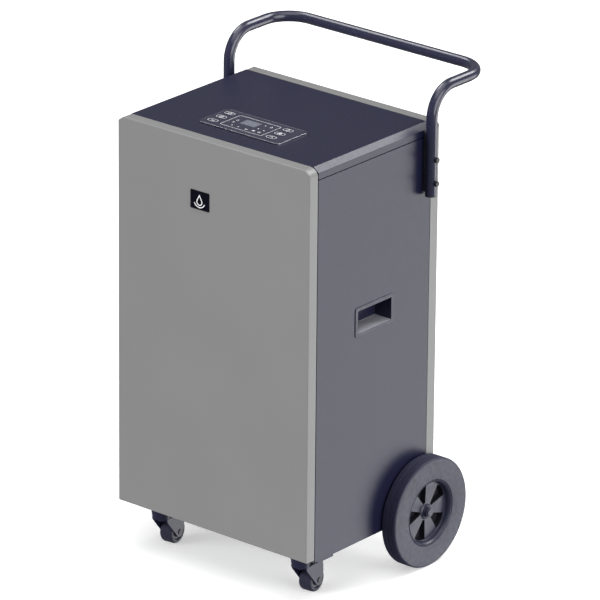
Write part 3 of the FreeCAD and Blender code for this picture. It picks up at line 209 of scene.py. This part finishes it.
def noise(material, scale, detail, stretch=(1, 1, 1)):
    """A noise texture's value."""
    texture = add_node(material, "ShaderNodeTexNoise", Scale=scale, Detail=detail)
    link(material, position_of(material, stretch), texture.inputs["Vector"])
    return texture.outputs["Fac"]


def bands(material, axis, pitch, distortion=0.0):
    """The value of parallel bands across an axis, one every pitch of metres."""
    radians_per_unit = 20
    scale = math.tau / (radians_per_unit * pitch)
    texture = add_node(material, "ShaderNodeTexWave", Scale=scale, Distortion=distortion)
    texture.bands_direction = axis
    link(material, position_of(material), texture.inputs["Vector"])
    return texture.outputs["Fac"]


def remap(material, source, start, end, first, last):
    """A value moved from one range to another."""
    node = add_node(material, "ShaderNodeMapRange", From_Min=start, From_Max=end, To_Min=first, To_Max=last)
    link(material, source, node.inputs["Value"])
    return node.outputs["Result"]


def shades(material, source, dark, light):
    """A colour that runs between two shades as the source runs from 0.3 to 0.7."""
    ramp = add_node(material, "ShaderNodeValToRGB")
    ramp.color_ramp.elements[0].position = 0.3
    ramp.color_ramp.elements[1].position = 0.7
    ramp.color_ramp.elements[0].color = (*dark, 1)
    ramp.color_ramp.elements[1].color = (*light, 1)
    link(material, source, ramp.inputs["Fac"])
    return ramp.outputs["Color"]


def mix_colours(material, factor, first, second):
    """Two colour outputs mixed by a factor output."""
    colour_a, colour_b, colour_out = 6, 7, 2
    node = add_node(material, "ShaderNodeMix")
    node.data_type = "RGBA"
    link(material, factor, node.inputs["Factor"])
    link(material, first, node.inputs[colour_a])
    link(material, second, node.inputs[colour_b])
    return node.outputs[colour_out]


def add_bump(material, heights):
    """Relief from pairs of a height output and its depth in metres."""
    normal = None
    for height, depth in heights:
        node = add_node(material, "ShaderNodeBump", Strength=1.0, Distance=depth)
        link(material, height, node.inputs["Height"])
        if normal is not None:
            link(material, normal, node.inputs["Normal"])
        normal = node.outputs["Normal"]
    link(material, normal, shader_of(material).inputs["Normal"])


def scaled(colour, amount):
    """A colour made lighter or darker."""
    return tuple(min(part * amount, 1.0) for part in colour)


def toned(material, source, dark, light):
    """Base colour that runs between two shades as the source runs from 0.3 to 0.7."""
    tone = shades(material, source, dark, light)
    link(material, tone, shader_of(material).inputs["Base Color"])
    return tone


def uneven_gloss(material, source, first, last):
    """Roughness that runs between two values as the source runs from 0.3 to 0.7."""
    link(material, remap(material, source, 0.3, 0.7, first, last), shader_of(material).inputs["Roughness"])


def blotched(material, colour, spread, scale):
    """Base colour that drifts slightly lighter and darker over the surface."""
    return toned(material, noise(material, scale, 4), scaled(colour, 1 - spread), scaled(colour, 1 + spread))


def dusted(material, tone, dust, level, amount):
    """The same colour with a patchy film of dust, thinning from the floor up to a level."""
    place = add_node(material, "ShaderNodeTexCoord")
    split = add_node(material, "ShaderNodeSeparateXYZ")
    link(material, place.outputs["Object"], split.inputs["Vector"])
    fade = remap(material, split.outputs["Z"], 0.0, level, amount, 0.0)
    patches = remap(material, noise(material, 28, 6), 0.35, 0.7, 0.2, 1.0)
    cover = add_node(material, "ShaderNodeMath")
    cover.operation = "MULTIPLY"
    link(material, fade, cover.inputs[0])
    link(material, patches, cover.inputs[1])
    film = add_node(material, "ShaderNodeRGB")
    film.outputs[0].default_value = (*dust, 1)
    mixed = mix_colours(material, cover.outputs[0], tone, film.outputs[0])
    link(material, mixed, shader_of(material).inputs["Base Color"])


# ---------------------------------------------------------------- finishes

def powder_coat(name, colour, roughness):
    """Baked powder paint: fine orange peel, a slight drift in colour and gloss, dust near the floor."""
    material = new_material(name, colour, roughness, Specular_IOR_Level=0.4)
    tone = blotched(material, colour, 0.02, 5)
    dusted(material, tone, scaled(colour, 1.2), 0.3, 0.15)
    uneven_gloss(material, noise(material, 160, 4), roughness - 0.03, roughness + 0.03)
    add_bump(material, [(noise(material, 420, 3), 0.00004), (noise(material, 1600, 2), 0.000016)])
    return material


def satin_tube_coat(name, colour):
    """Smoother, glossier powder paint on bent tube, with a faint clear coat."""
    material = new_material(name, colour, 0.26, Coat_Weight=0.3, Coat_Roughness=0.15)
    blotched(material, colour, 0.06, 12)
    uneven_gloss(material, noise(material, 60, 5), 0.21, 0.32)
    add_bump(material, [(noise(material, 500, 3), 0.00003)])
    return material


def moulded_plastic(name, colour, roughness):
    """Injection moulded plastic with a fine spark-eroded grain."""
    material = new_material(name, colour, roughness, Specular_IOR_Level=0.45)
    blotched(material, colour, 0.05, 20)
    uneven_gloss(material, noise(material, 90, 4), roughness - 0.06, roughness + 0.06)
    add_bump(material, [(noise(material, 1300, 4), 0.00005)])
    return material


def solid_rubber(name, colour, dust=0.35, roughness=0.7):
    """Rubber with dust low down and small scuffs."""
    material = new_material(name, colour, roughness, Specular_IOR_Level=0.5)
    tone = blotched(material, colour, 0.12, 26)
    dusted(material, tone, scaled(colour, 1.9), 0.1, dust)
    uneven_gloss(material, noise(material, 120, 5), roughness - 0.07, roughness + 0.07)
    add_bump(material, [(noise(material, 160, 6), 0.00012), (noise(material, 1100, 3), 0.00005)])
    return material


def zinc_plate(name, colour):
    """Zinc plated or galvanised steel: soft spangle and fine scratches."""
    material = new_material(name, colour, 0.42, 0.9)
    spangle = add_node(material, "ShaderNodeTexVoronoi", Scale=120)
    link(material, position_of(material), spangle.inputs["Vector"])
    toned(material, spangle.outputs["Distance"], scaled(colour, 0.86), scaled(colour, 1.1))
    uneven_gloss(material, noise(material, 70, 5), 0.3, 0.52)
    add_bump(material, [(noise(material, 900, 3, (0.1, 1, 1)), 0.00003)])
    return material


def brushed_aluminium(name, colour):
    """Anodised trim, brushed along X."""
    material = new_material(name, colour, 0.3, 1.0, Anisotropic=0.4)
    grain = noise(material, 1400, 2, (0.02, 1, 1))
    toned(material, grain, scaled(colour, 0.93), scaled(colour, 1.06))
    uneven_gloss(material, grain, 0.24, 0.36)
    add_bump(material, [(grain, 0.00002)])
    return material


def copper_pipe(name):
    """Drawn copper, browned in patches."""
    material = new_material(name, (0.72, 0.36, 0.22), 0.3, 1.0)
    patches = noise(material, 30, 6)
    toned(material, patches, (0.42, 0.19, 0.11), (0.80, 0.42, 0.27))
    uneven_gloss(material, patches, 0.45, 0.25)
    add_bump(material, [(noise(material, 700, 2), 0.00003)])
    return material


def fin_stack(name):
    """A coil's thin fins, on edge, about 3.6 mm apart, with painted shade in the dark bands between them."""
    colour = (0.62, 0.64, 0.66)
    material = new_material(name, colour, 0.35, 0.9)
    fin_edges_and_gap_shade = bands(material, "X", 3.5565 * MM, 0.15)
    # The dark bands are painted shade in the gaps between the fins; the same bands give the fins' relief.
    toned(material, fin_edges_and_gap_shade, scaled(colour, 0.12), colour)
    uneven_gloss(material, noise(material, 80, 4), 0.3, 0.5)
    add_bump(material, [(fin_edges_and_gap_shade, 0.0006)])
    return material


def woven_filter(name):
    """Coarse nylon filter net, about 3.2 mm between threads."""
    colour = (0.035, 0.037, 0.045)
    material = new_material(name, colour, 0.7, Sheen_Weight=0.3)
    both = add_node(material, "ShaderNodeMath")
    both.operation = "MAXIMUM"
    for socket, axis in zip(both.inputs, ("X", "Z")):
        link(material, bands(material, axis, 3.1583 * MM, 0.4), socket)
    threads = both.outputs["Value"]
    toned(material, threads, scaled(colour, 0.3), scaled(colour, 2.2))
    add_bump(material, [(threads, 0.0004)])
    return material


def membrane_film(name, colour):
    """Printed membrane under a hard satin film."""
    material = new_material(name, colour, 0.32, Coat_Weight=0.5, Coat_Roughness=0.12)
    blotched(material, colour, 0.04, 30)
    uneven_gloss(material, noise(material, 150, 4), 0.27, 0.38)
    add_bump(material, [(noise(material, 2200, 2), 0.00002)])
    return material


def display_lens(name):
    """A display behind smoked acrylic: even grey blue with faint rows."""
    colour = (0.15, 0.165, 0.21)
    material = new_material(name, colour, 0.12, Coat_Weight=1.0, Coat_Roughness=0.05)
    toned(material, bands(material, "Y", 1.6449 * MM), scaled(colour, 0.94), scaled(colour, 1.06))
    return material


def enamel_plate(name, colour):
    """Flat dark enamel with a faint cloudiness and hardly any shine."""
    material = new_material(name, colour, 0.5, Specular_IOR_Level=0.08)
    blotched(material, colour, 0.2, 120)
    add_bump(material, [(noise(material, 900, 3), 0.00001)])
    return material


def screen_print(name, colour):
    """Opaque ink, very slightly uneven."""
    material = new_material(name, colour, 0.45)
    blotched(material, colour, 0.05, 300)
    add_bump(material, [(noise(material, 2600, 2), 0.00001)])
    return material


def circuit_board(name):
    """Green solder mask over a grid of tracks."""
    colour = (0.02, 0.16, 0.06)
    material = new_material(name, colour, 0.35, Coat_Weight=0.4, Coat_Roughness=0.2)
    tracks = add_node(material, "ShaderNodeTexBrick", Scale=140)
    tracks.inputs["Color1"].default_value = (*colour, 1)
    tracks.inputs["Color2"].default_value = (*scaled(colour, 1.3), 1)
    tracks.inputs["Mortar"].default_value = (*scaled(colour, 2.4), 1)
    link(material, position_of(material), tracks.inputs["Vector"])
    link(material, tracks.outputs["Color"], shader_of(material).inputs["Base Color"])
    add_bump(material, [(tracks.outputs["Fac"], 0.00004)])
    return material


def make_materials():
    """One finish for each kind of surface."""
    return {
        "front_grey": powder_coat("front_grey_coat", (0.213, 0.213, 0.214), 0.40),
        "shell_navy": powder_coat("shell_navy_coat", (0.010, 0.011, 0.034), 0.34),
        "handle_navy": satin_tube_coat("handle_navy_coat", (0.019, 0.020, 0.046)),
        "fork_navy": powder_coat("fork_navy_coat", (0.016, 0.017, 0.042), 0.36),
        "black_steel": powder_coat("black_steel_coat", (0.018, 0.018, 0.022), 0.4),
        "zinc": zinc_plate("zinc_plate", (0.45, 0.45, 0.48)),
        "galvanised": zinc_plate("galvanised_sheet", (0.55, 0.56, 0.58)),
        "tyre_side": solid_rubber("tyre_side_rubber", (0.025, 0.026, 0.050), 0.15, 0.46),
        # Painted shade: the tread rubber is a darker copy of the sidewall rubber, for the tread that faces
        # away from the lamps.
        "tyre": solid_rubber("tyre_tread_painted_shade_rubber", (0.014, 0.015, 0.043)),
        "rim": moulded_plastic("rim_plastic", (0.024, 0.025, 0.050), 0.38),
        # Painted shade: a near-black copy of the rim plastic, for the deep rim windows.
        "rim_window_painted_shade": moulded_plastic("rim_window_painted_shade_plastic", (0.004, 0.004, 0.010), 0.7),
        "caster": moulded_plastic("caster_plastic", (0.022, 0.023, 0.042), 0.45),
        "grip_plastic": moulded_plastic("grip_plastic", (0.012, 0.013, 0.036), 0.34),
        # Painted light: a paler copy of the grip plastic, for the lit floor of the grip's cup.
        "grip_floor_painted_light": moulded_plastic("grip_floor_painted_light_plastic", (0.36, 0.36, 0.40), 0.5),
        "bezel": brushed_aluminium("bezel_aluminium", (0.30, 0.30, 0.34)),
        "overlay": membrane_film("overlay_film", (0.018, 0.019, 0.046)),
        "key": membrane_film("key_film", (0.020, 0.021, 0.050)),
        "display": display_lens("display_lens"),
        "badge": enamel_plate("badge_enamel", (0.003, 0.003, 0.007)),
        "ink": screen_print("white_ink", (0.78, 0.78, 0.80)),
        "dim_ink": screen_print("dim_ink", (0.20, 0.215, 0.26)),
        "board": circuit_board("circuit_board"),
        "copper": copper_pipe("copper_pipe"),
        "coil": fin_stack("coil_fins"),
        "compressor": powder_coat("compressor_enamel", (0.015, 0.015, 0.017), 0.3),
        "rubber": solid_rubber("soft_rubber", (0.022, 0.022, 0.024)),
        "plastic_black": moulded_plastic("black_plastic", (0.020, 0.020, 0.024), 0.5),
        "filter": woven_filter("filter_cloth"),
    }


def finish_nodes():
    """Give every CAD node the finish of its material slot, or a finish of its own where it has one."""
    special = {
        "left_caster_fork": "fork_navy",
        "right_caster_fork": "fork_navy",
        "caster_plates": "fork_navy",
        "axle_nuts": "rim",
    }
    for name, node in frame["nodes"].items():
        node.data.materials.clear()
        node.data.materials.append(finishes[special.get(name, slots[name])])


# ---------------------------------------------------------------- mesh building blocks

def new_piece(name, mesh, body, slot_name, *finish_names):
    """A mesh as a piece that rides on a body and wears finishes; faces take the first unless they say."""
    piece = bpy.data.objects.new(name, mesh)
    scene.collection.objects.link(piece)
    for finish in finish_names:
        mesh.materials.append(finishes[finish])
    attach(piece, body)
    return piece


def mesh_from(name, build, smooth_angle=35):
    """A mesh made by a function that fills a bmesh."""
    work = bmesh.new()
    build(work)
    bmesh.ops.recalc_face_normals(work, faces=work.faces)
    mesh = bpy.data.meshes.new(name)
    work.to_mesh(mesh)
    work.free()
    for face in mesh.polygons:
        face.use_smooth = True
    mesh.set_sharp_from_angle(angle=math.radians(smooth_angle))
    return mesh


def ring_faces(work, first, second):
    """Faces between two closed rows of vertices of the same length."""
    faces = []
    for step in range(len(first)):
        following = (step + 1) % len(first)
        faces.append(work.faces.new((first[step], first[following], second[following], second[step])))
    return faces


def lathe(work, axis_point, profile, segments, material_at):
    """Turn a closed profile of (along X, radius) points round an axis; material_at numbers the finishes."""
    rings = []
    for along, radius in profile:
        ring = []
        for step in range(segments):
            angle = math.tau * step / segments
            offset = Vector((along, radius * math.cos(angle), radius * math.sin(angle)))
            ring.append(work.verts.new(axis_point + offset))
        rings.append(ring)
    count = len(rings)
    for index in range(count):
        after = (index + 1) % count
        for face in ring_faces(work, rings[index], rings[after]):
            face.material_index = material_at(profile[index], profile[after])


def soften_edges(piece, width, segments):
    """A real rounding on every edge sharper than 30 degrees."""
    bevel = piece.modifiers.new("rounding", "BEVEL")
    bevel.width = width
    bevel.segments = segments
    bevel.limit_method = "ANGLE"
    bevel.angle_limit = math.radians(30)
    bevel.harden_normals = True
    bevel.use_clamp_overlap = True


def round_shoulders(work, radius):
    """Round an end panel's top corners: its long edges along Y between faces 26 to 60 degrees apart."""
    bends = []
    for edge in work.edges:
        run = edge.verts[1].co - edge.verts[0].co
        if abs(run.y) < 0.99 * run.length or run.length < 10 * MM or len(edge.link_faces) != 2:
            continue
        bend = edge.link_faces[0].normal.dot(edge.link_faces[1].normal)
        if 0.5 < bend < 0.9:
            bends.append(edge)
    bmesh.ops.bevel(work, geom=bends, offset=radius, segments=5, profile=0.5, affect="EDGES")


def softened(node, width, segments=2, shoulder=0):
    """A new piece in a CAD node's place: the same shape, its edges rounded, and its shoulders if asked."""
    source = frame["nodes"][node]
    # The plain mesh takes the node's points and faces, and none of its normals or materials.
    points = [vertex.co for vertex in source.data.vertices]
    faces = [tuple(face.vertices) for face in source.data.polygons]
    plain = bpy.data.meshes.new(node + "_plain")
    plain.from_pydata(points, [], faces)

    def build(work):
        work.from_mesh(plain)
        bmesh.ops.remove_doubles(work, verts=work.verts, dist=WELD)
        bmesh.ops.dissolve_limit(work, angle_limit=math.radians(0.5), verts=work.verts, edges=work.edges)
        if shoulder:
            work.normal_update()
            round_shoulders(work, shoulder)

    mesh = mesh_from(node + "_soft", build)
    bpy.data.meshes.remove(plain)
    piece = new_piece(node + "_soft", mesh, source["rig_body"], slots[node])
    mesh.materials.append(source.data.materials[0])
    soften_edges(piece, width, segments)
    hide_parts(node)
    return piece


# ---------------------------------------------------------------- wheels, grips and panels

def tyre_profile(half, outer, bead):
    """Half section of the tyre, from the middle of the tread to the bead; its steps are in millimetres."""
    groove = [(0, 0), (0.2, 0.3), (0.3, 1.4), (1.1, 1.4), (1.2, 0.3), (1.4, 0)]
    shoulder = [(3.4, 0.1), (2.2, 0.5), (1.2, 1.2), (0.5, 2.2), (0.1, 3.4), (0, 5)]
    lip = [(0, 2.2), (0.2, 1.2), (0.7, 0.5), (1.6, 0)]
    points = [(0, outer)]
    for start in (0.5, 8.6):
        points += [((start + along) * MM, outer - drop * MM) for along, drop in groove]
    points += [(half - inset * MM, outer - drop * MM) for inset, drop in shoulder]
    points += [(half - inset * MM, bead + rise * MM) for inset, rise in lip]
    return points


def wheel_tyre(side):
    """Tyre with fine grooves round the tread, which has a darker finish of its own as painted shade, and
    soft shoulders.
    """
    bead = 67 * MM
    tread_depth = 2 * MM
    node = side + "_wheel_tyre"
    centre = middle(node)
    half = (high(node).x - low(node).x) / 2
    outer = (high(node).z - low(node).z) / 2
    right = tyre_profile(half, outer, bead)
    left = [(-along, radius) for along, radius in reversed(right[1:])]

    def on_tread(first, second):
        across = max(abs(first[0]), abs(second[0]))
        return int(min(first[1], second[1]) > outer - tread_depth and across < half - 1 * MM)

    def build(work):
        lathe(work, centre, right + left, 160, on_tread)

    mesh = mesh_from(node + "_moulded", build, 40)
    piece = new_piece(node + "_moulded", mesh, side + "_wheel", "tyre", "tyre_side", "tyre")
    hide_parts(node)


def repaint(piece, finish_name, chosen):
    """Give the faces that pass a test of their centre and normal a second finish."""
    piece.data.materials.append(finishes[finish_name])
    for face in piece.data.polygons:
        if chosen(face.center, face.normal):
            face.material_index = len(piece.data.materials) - 1


def wheel_rim(side):
    """The spoked rim, with painted shade in its blind windows: their floors and walls take a near-black
    finish.

    The windows' depths and radii are millimetres from the tyre's middle.
    """
    window_floor, window_mouth = -10, 3.5
    window_inner, window_outer = 16, 62
    centre = middle(side + "_wheel_tyre")
    outward = math.copysign(1, centre.x)

    def in_window(place, _):
        depth = (place.x - centre.x) * outward / MM
        radius = math.hypot(place.y - centre.y, place.z - centre.z) / MM
        return window_floor < depth < window_mouth and window_inner < radius < window_outer

    repaint(softened(side + "_wheel_rim", 0.7 * MM), "rim_window_painted_shade", in_window)


def grip(side):
    """The recessed grip, with painted light on the up-facing floor of its cup: a paler finish there."""
    centre = middle(side + "_grip")

    def on_floor(place, normal):
        return normal.z > 0.9 and place.z < centre.z

    repaint(softened(side + "_grip", 0.8 * MM, 3), "grip_floor_painted_light", on_floor)


def side_pieces(side):
    """The wheel, grip, caster and panel of one side."""
    wheel_tyre(side)
    wheel_rim(side)
    grip(side)
    softened(side + "_caster_fork", 0.5 * MM)
    softened(side + "_caster_wheel", 0.3 * MM)
    softened(side + "_side_panel", 0.3 * MM)


def end_panels():
    """The front and rear panels, with the shoulders that the bent sheet has."""
    for node in ("front_panel", "rear_panel"):
        softened(node, 0.5 * MM, shoulder=6 * MM)


def small_parts():
    """The other parts that show, each with its edges rounded by a width in millimetres."""
    widths = {
        "top_cover": 0.4,
        "badge": 0.35,
        "axle_nuts": 0.5,
        "caster_plates": 0.4,
        "caster_bolts": 0.5,
        "left_caster_axle": 0.3,
        "right_caster_axle": 0.3,
        "handle_bolts": 0.9,
        "handle_plugs": 0.8,
        "intake_grille": 0.4,
        "outlet_grille": 0.4,
        "drain_spigot": 0.4,
        "cord_gland": 0.4,
        "base_pan": 0.4,
    }
    for node, width in widths.items():
        softened(node, width * MM)


# ---------------------------------------------------------------- screws and handle strips

def islands(node):
    """The boxes, as pairs of corners, of a CAD node's separate solids."""
    work = bmesh.new()
    work.from_mesh(frame["nodes"][node].data)
    bmesh.ops.remove_doubles(work, verts=work.verts, dist=WELD)
    waiting = set(work.verts)
    boxes = []
    for seed in work.verts:
        if seed not in waiting:
            continue
        waiting.remove(seed)
        reached = [seed]
        for vertex in reached:
            for edge in vertex.link_edges:
                other = edge.other_vert(vertex)
                if other in waiting:
                    waiting.remove(other)
                    reached.append(other)
        places = [vertex.co.copy() for vertex in reached]
        boxes.append((Vector(map(min, zip(*places))), Vector(map(max, zip(*places)))))
    work.free()
    return boxes


def screw_head(work, base, outward, radius, height):
    """A domed head with a cross recess, standing on a base point."""
    rings, segments = 16, 48
    edge_drop = 0.55 * height
    recess_depth = 0.45 * height
    recess_half_width = 0.13 * radius
    recess_reach = 0.62 * radius
    across = Vector((0, 0, 1))
    along = outward.cross(across)

    def level(u, v):
        near, far = sorted((abs(u), abs(v)))
        dome = height - edge_drop * (math.hypot(u, v) / radius) ** 3
        return dome - recess_depth if near < recess_half_width and far < recess_reach else dome

    def foot(u, v):
        return 0

    def circle(reach, height_at):
        row = []
        for step in range(segments):
            angle = math.tau * step / segments
            u, v = reach * math.cos(angle), reach * math.sin(angle)
            row.append(work.verts.new(base + across * u + along * v + outward * height_at(u, v)))
        return row

    rows = [circle(radius * ring / rings, level) for ring in range(1, rings + 1)]
    rows.append(circle(radius, foot))
    for first, second in zip(rows, rows[1:]):
        ring_faces(work, first, second)
    work.faces.new(rows[0])
    work.faces.new(rows[-1])


def panel_screws():
    """Cross recessed screws in place of the plain heads."""
    centre = middle("panel_screws")

    def build(work):
        for lowest, highest in islands("panel_screws"):
            size = highest - lowest
            place = (lowest + highest) / 2
            outward = Vector((0, math.copysign(1, place.y - centre.y), 0))
            screw_head(work, place - outward * size.y / 2, outward, size.z / 2, size.y)

    mesh = mesh_from("cross_screws", build, 30)
    piece = new_piece("cross_screws", mesh, "cabinet", "black_steel", "black_steel")
    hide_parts("panel_screws")


def leg_shade_strips():
    """A dark rubber strip behind each handle leg, in place of the washers: a dark sheet put in the gap as
    painted shade, so that no light shows through.
    """
    width, below, above = 10 * MM, 14 * MM, 42 * MM
    boxes = islands("handle_spacers")

    def build(work):
        for sign in (-1, 1):
            washers = [corner for box in boxes if box[0].x * sign > 0 for corner in box]
            lowest = Vector(map(min, zip(*washers)))
            highest = Vector(map(max, zip(*washers)))
            lowest.z -= below
            highest.z += above
            thickness, _, height = highest - lowest
            place = Matrix.Translation((lowest + highest) / 2)
            size = Matrix.Diagonal((thickness, width, height, 1))
            bmesh.ops.create_cube(work, size=1, matrix=place @ size)

    piece = new_piece("leg_shade_strips", mesh_from("leg_shade_strips", build), "cabinet", "rubber", "rubber")
    soften_edges(piece, 1.2 * MM, 3)
    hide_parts("handle_spacers")


# ---------------------------------------------------------------- control panel

def rounded_rectangle(x_low, x_high, y_low, y_high, radius, steps=8):
    """The outline of a rounded rectangle in plan, counterclockwise."""
    points = []
    corners = [(x_high - radius, y_low + radius, -90), (x_high - radius, y_high - radius, 0),
               (x_low + radius, y_high - radius, 90), (x_low + radius, y_low + radius, 180)]
    for x, y, start in corners:
        for step in range(steps + 1):
            angle = math.radians(start + 90 * step / steps)
            points.append((x + radius * math.cos(angle), y + radius * math.sin(angle)))
    return points


def control_bezel():
    """The raised frame: bright on its outer rim, dark on the face."""
    corner = 11 * MM
    rim, face = 0, 1
    section = [(0, 0, rim), (0, 1.7, rim), (0.15, 2.2, rim), (0.5, 2.45, face), (0.9, 2.5, face),
               (3.0, 2.5, face), (3.3, 2.3, face), (3.3, 0, face)]
    lowest, highest = low("control_bezel"), high("control_bezel")

    def ring(work, inset, height):
        outline = rounded_rectangle(lowest.x + inset, highest.x - inset, lowest.y + inset, highest.y - inset,
                                    corner - inset)
        return [work.verts.new((x, y, lowest.z + height)) for x, y in outline]

    def build(work):
        rings = [ring(work, inset * MM, height * MM) for inset, height, _ in section]
        for (_, _, finish), first, second in zip(section, rings, rings[1:] + rings[:1]):
            for strip in ring_faces(work, first, second):
                strip.material_index = finish

    mesh = mesh_from("bezel_frame", build, 50)
    piece = new_piece("bezel_frame", mesh, "cabinet", "bezel", "bezel", "overlay")
    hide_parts("control_bezel")


def stroke(work, points, width, level, closed=False, thickness=0.06 * MM):
    """A thin raised line of ink along points in plan, mitred at its turns."""
    vertical = Vector((0, 0, 1))
    path = [Vector((x, y, 0)) for x, y in points]
    count = len(path)
    sides = ([], [])
    for index, here in enumerate(path):
        before = path[index - 1] if closed or index > 0 else None
        after = path[(index + 1) % count] if closed or index < count - 1 else None
        incoming = (here - before).normalized() if before is not None else (after - here).normalized()
        outgoing = (after - here).normalized() if after is not None else incoming
        normal = (incoming + outgoing).normalized().cross(vertical)
        spread = 1 / max(normal.dot(outgoing.cross(vertical)), 0.5)
        for side, sign in zip(sides, (-1, 1)):
            flat = here + normal * (sign * spread * width / 2)
            low_corner = work.verts.new((flat.x, flat.y, level))
            high_corner = work.verts.new((flat.x, flat.y, level + thickness))
            side.append((low_corner, high_corner))
    for index in range(count if closed else count - 1):
        following = (index + 1) % count
        (a_low, a_high), (b_low, b_high) = sides[0][index], sides[0][following]
        (c_low, c_high), (d_low, d_high) = sides[1][index], sides[1][following]
        work.faces.new((a_high, b_high, d_high, c_high))
        work.faces.new((a_low, c_low, d_low, b_low))
        work.faces.new((a_low, b_low, b_high, a_high))
        work.faces.new((c_low, c_high, d_high, d_low))
        if not closed and index == 0:
            work.faces.new((a_low, a_high, c_high, c_low))
        if not closed and following == count - 1:
            work.faces.new((b_low, d_low, d_high, b_high))


def arc(x, y, radius, start, end, steps=14):
    """Points along part of a circle, angles in degrees."""
    angles = [math.radians(start + (end - start) * step / steps) for step in range(steps + 1)]
    return [(x + radius * math.cos(angle), y + radius * math.sin(angle)) for angle in angles]


# An icon is a list of lines about its middle; a line is its points in plan and whether it closes.

def power_icon(size):
    return [(arc(0, 0, size, 120, 420), False), ([(0, size * 0.3), (0, size * 1.25)], False)]


def clock_icon(size):
    return [(arc(0, 0, size, 0, 345), True), ([(0, size * 0.6), (0, 0), (size * 0.45, -size * 0.25)], False)]


def arrow_icon(size, sense):
    head = [(-size, -sense * size * 0.35), (0, sense * size * 0.65), (size, -sense * size * 0.35)]
    return [(head, False)]


def drop_icon(size):
    belly = arc(0, -size * 0.35, size * 0.75, 150, 390, 16)
    return [([(0, size * 1.2)] + belly, True)]


def fan_icon(size):
    blades = []
    for turn in (90, 210, 330):
        angle = math.radians(turn)
        x, y = 0.62 * size * math.cos(angle), 0.62 * size * math.sin(angle)
        blades.append((arc(x, y, size * 0.42, turn - 180, turn + 165, 12), True))
    return blades


def flake_icon(size):
    arms = []
    for turn in (90, 30, 150):
        x, y = size * math.cos(math.radians(turn)), size * math.sin(math.radians(turn))
        arms.append(([(x, y), (-x, -y)], False))
    return arms


def tank_icon(size):
    walls = [(-size, size * 0.7), (-size * 0.8, -size * 0.8), (size * 0.8, -size * 0.8), (size, size * 0.7)]
    return [(walls, False), ([(-size * 0.5, 0), (size * 0.5, 0)], False)]


def lamp_icon(size):
    return [(arc(0, 0, size * 0.5, 0, 330, 10), True)]


def printed(name, body, level, marks, slot_name="key", ink="ink"):
    """Ink strokes at a level: marks are (x, y, icon, line width)."""
    def build(work):
        for x, y, lines, width in marks:
            for points, closed in lines:
                stroke(work, [(x + px, y + py) for px, py in points], width, level, closed)

    new_piece(name, mesh_from(name, build), body, slot_name, ink)


def key_prints():
    """An oval outline and a generic symbol on each key."""
    size = 3.8 * MM
    half_length, half_width = 11.3 * MM, 5.8 * MM
    oval = rounded_rectangle(-half_length, half_length, -half_width, half_width, 5.79 * MM)
    icons = {
        "key_power": power_icon(size),
        "key_timer": clock_icon(size),
        "key_down": arrow_icon(size, -1),
        "key_mode": drop_icon(size),
        "key_fan": fan_icon(size * 1.2),
        "key_up": arrow_icon(size, 1),
    }
    for node, icon in icons.items():
        centre = middle(node)
        marks = [(centre.x, centre.y, icon, 1.25 * MM), (centre.x, centre.y, [(oval, True)], 0.9 * MM)]
        printed(node + "_print", node + "_cap", high(node).z, marks)


def panel_prints():
    """The ruled frame and the symbols between the keys, placed from a line across the top cover."""
    line_width = 0.9 * MM
    datum = low("front_panel").y + 194 * MM
    frame_line = rounded_rectangle(-58 * MM, 44.5 * MM, datum - 106 * MM, datum - 44 * MM, 4 * MM, 4)
    marks = [(0, 0, [(frame_line, True)], line_width)]
    size = 2.6 * MM
    symbols = [
        (-44, -69, drop_icon(size)), (-44.5, -81, flake_icon(size)), (16, -79, lamp_icon(size)),
        (0, -96, tank_icon(size)), (16, -94, fan_icon(size * 1.2)), (30, -94, clock_icon(size)),
        (31, -81, lamp_icon(size)), (31, -58, drop_icon(size)), (-20, -96, lamp_icon(size)),
        (-36, -96, lamp_icon(size)), (16, -58, lamp_icon(size)),
    ]
    marks += [(x * MM, datum + y * MM, icon, line_width) for x, y, icon in symbols]
    printed("panel_print", "cabinet", high("control_overlay").z, marks)


def segment_digit(x, y, height):
    """A mark of a display digit: its seven bars, all lit."""
    half, tall = height * 0.28, height / 2
    bars = [((-half, tall), (half, tall)), ((-half, 0), (half, 0)), ((-half, -tall), (half, -tall)),
            ((-half, 0), (-half, tall)), ((half, 0), (half, tall)), ((-half, -tall), (-half, 0)),
            ((half, -tall), (half, 0))]
    lines = []
    for start, end in bars:
        first, last = Vector(start), Vector(end)
        gap = (last - first).normalized() * height * 0.07
        lines.append(([tuple(first + gap), tuple(last - gap)], False))
    return x, y, lines, height * 0.09


def display_digits():
    """Two dim digits on the display's lens."""
    centre = middle("display_window")
    marks = [segment_digit(centre.x + offset * MM, centre.y, 12 * MM) for offset in (-6, 6)]
    printed("display_digits", "cabinet", high("display_window").z, marks, "display", "dim_ink")


def badge_mark():
    """A plain water drop over an arc, raised from the badge's face."""
    lines = drop_icon(8.5 * MM) + [(arc(0, 0, 14 * MM, 205, 335, 20), False)]
    centre = middle("badge")
    face = low("badge").y

    def build(work):
        for points, closed in lines:
            stroke(work, points, 2.0 * MM, 0, closed, 0.25 * MM)
        upright = Matrix.Translation((centre.x, face, centre.z)) @ Matrix.Rotation(math.radians(90), 4, "X")
        bmesh.ops.transform(work, matrix=upright, verts=work.verts)

    new_piece("badge_mark", mesh_from("badge_mark", build), "cabinet", "badge", "ink")


# ---------------------------------------------------------------- the scene

make_camera()
light_scene()
make_floor()
finishes = make_materials()
finish_nodes()
for side in ("left", "right"):
    side_pieces(side)
end_panels()
small_parts()
panel_screws()
leg_shade_strips()
control_bezel()
key_prints()
panel_prints()
display_digits()
badge_mark()
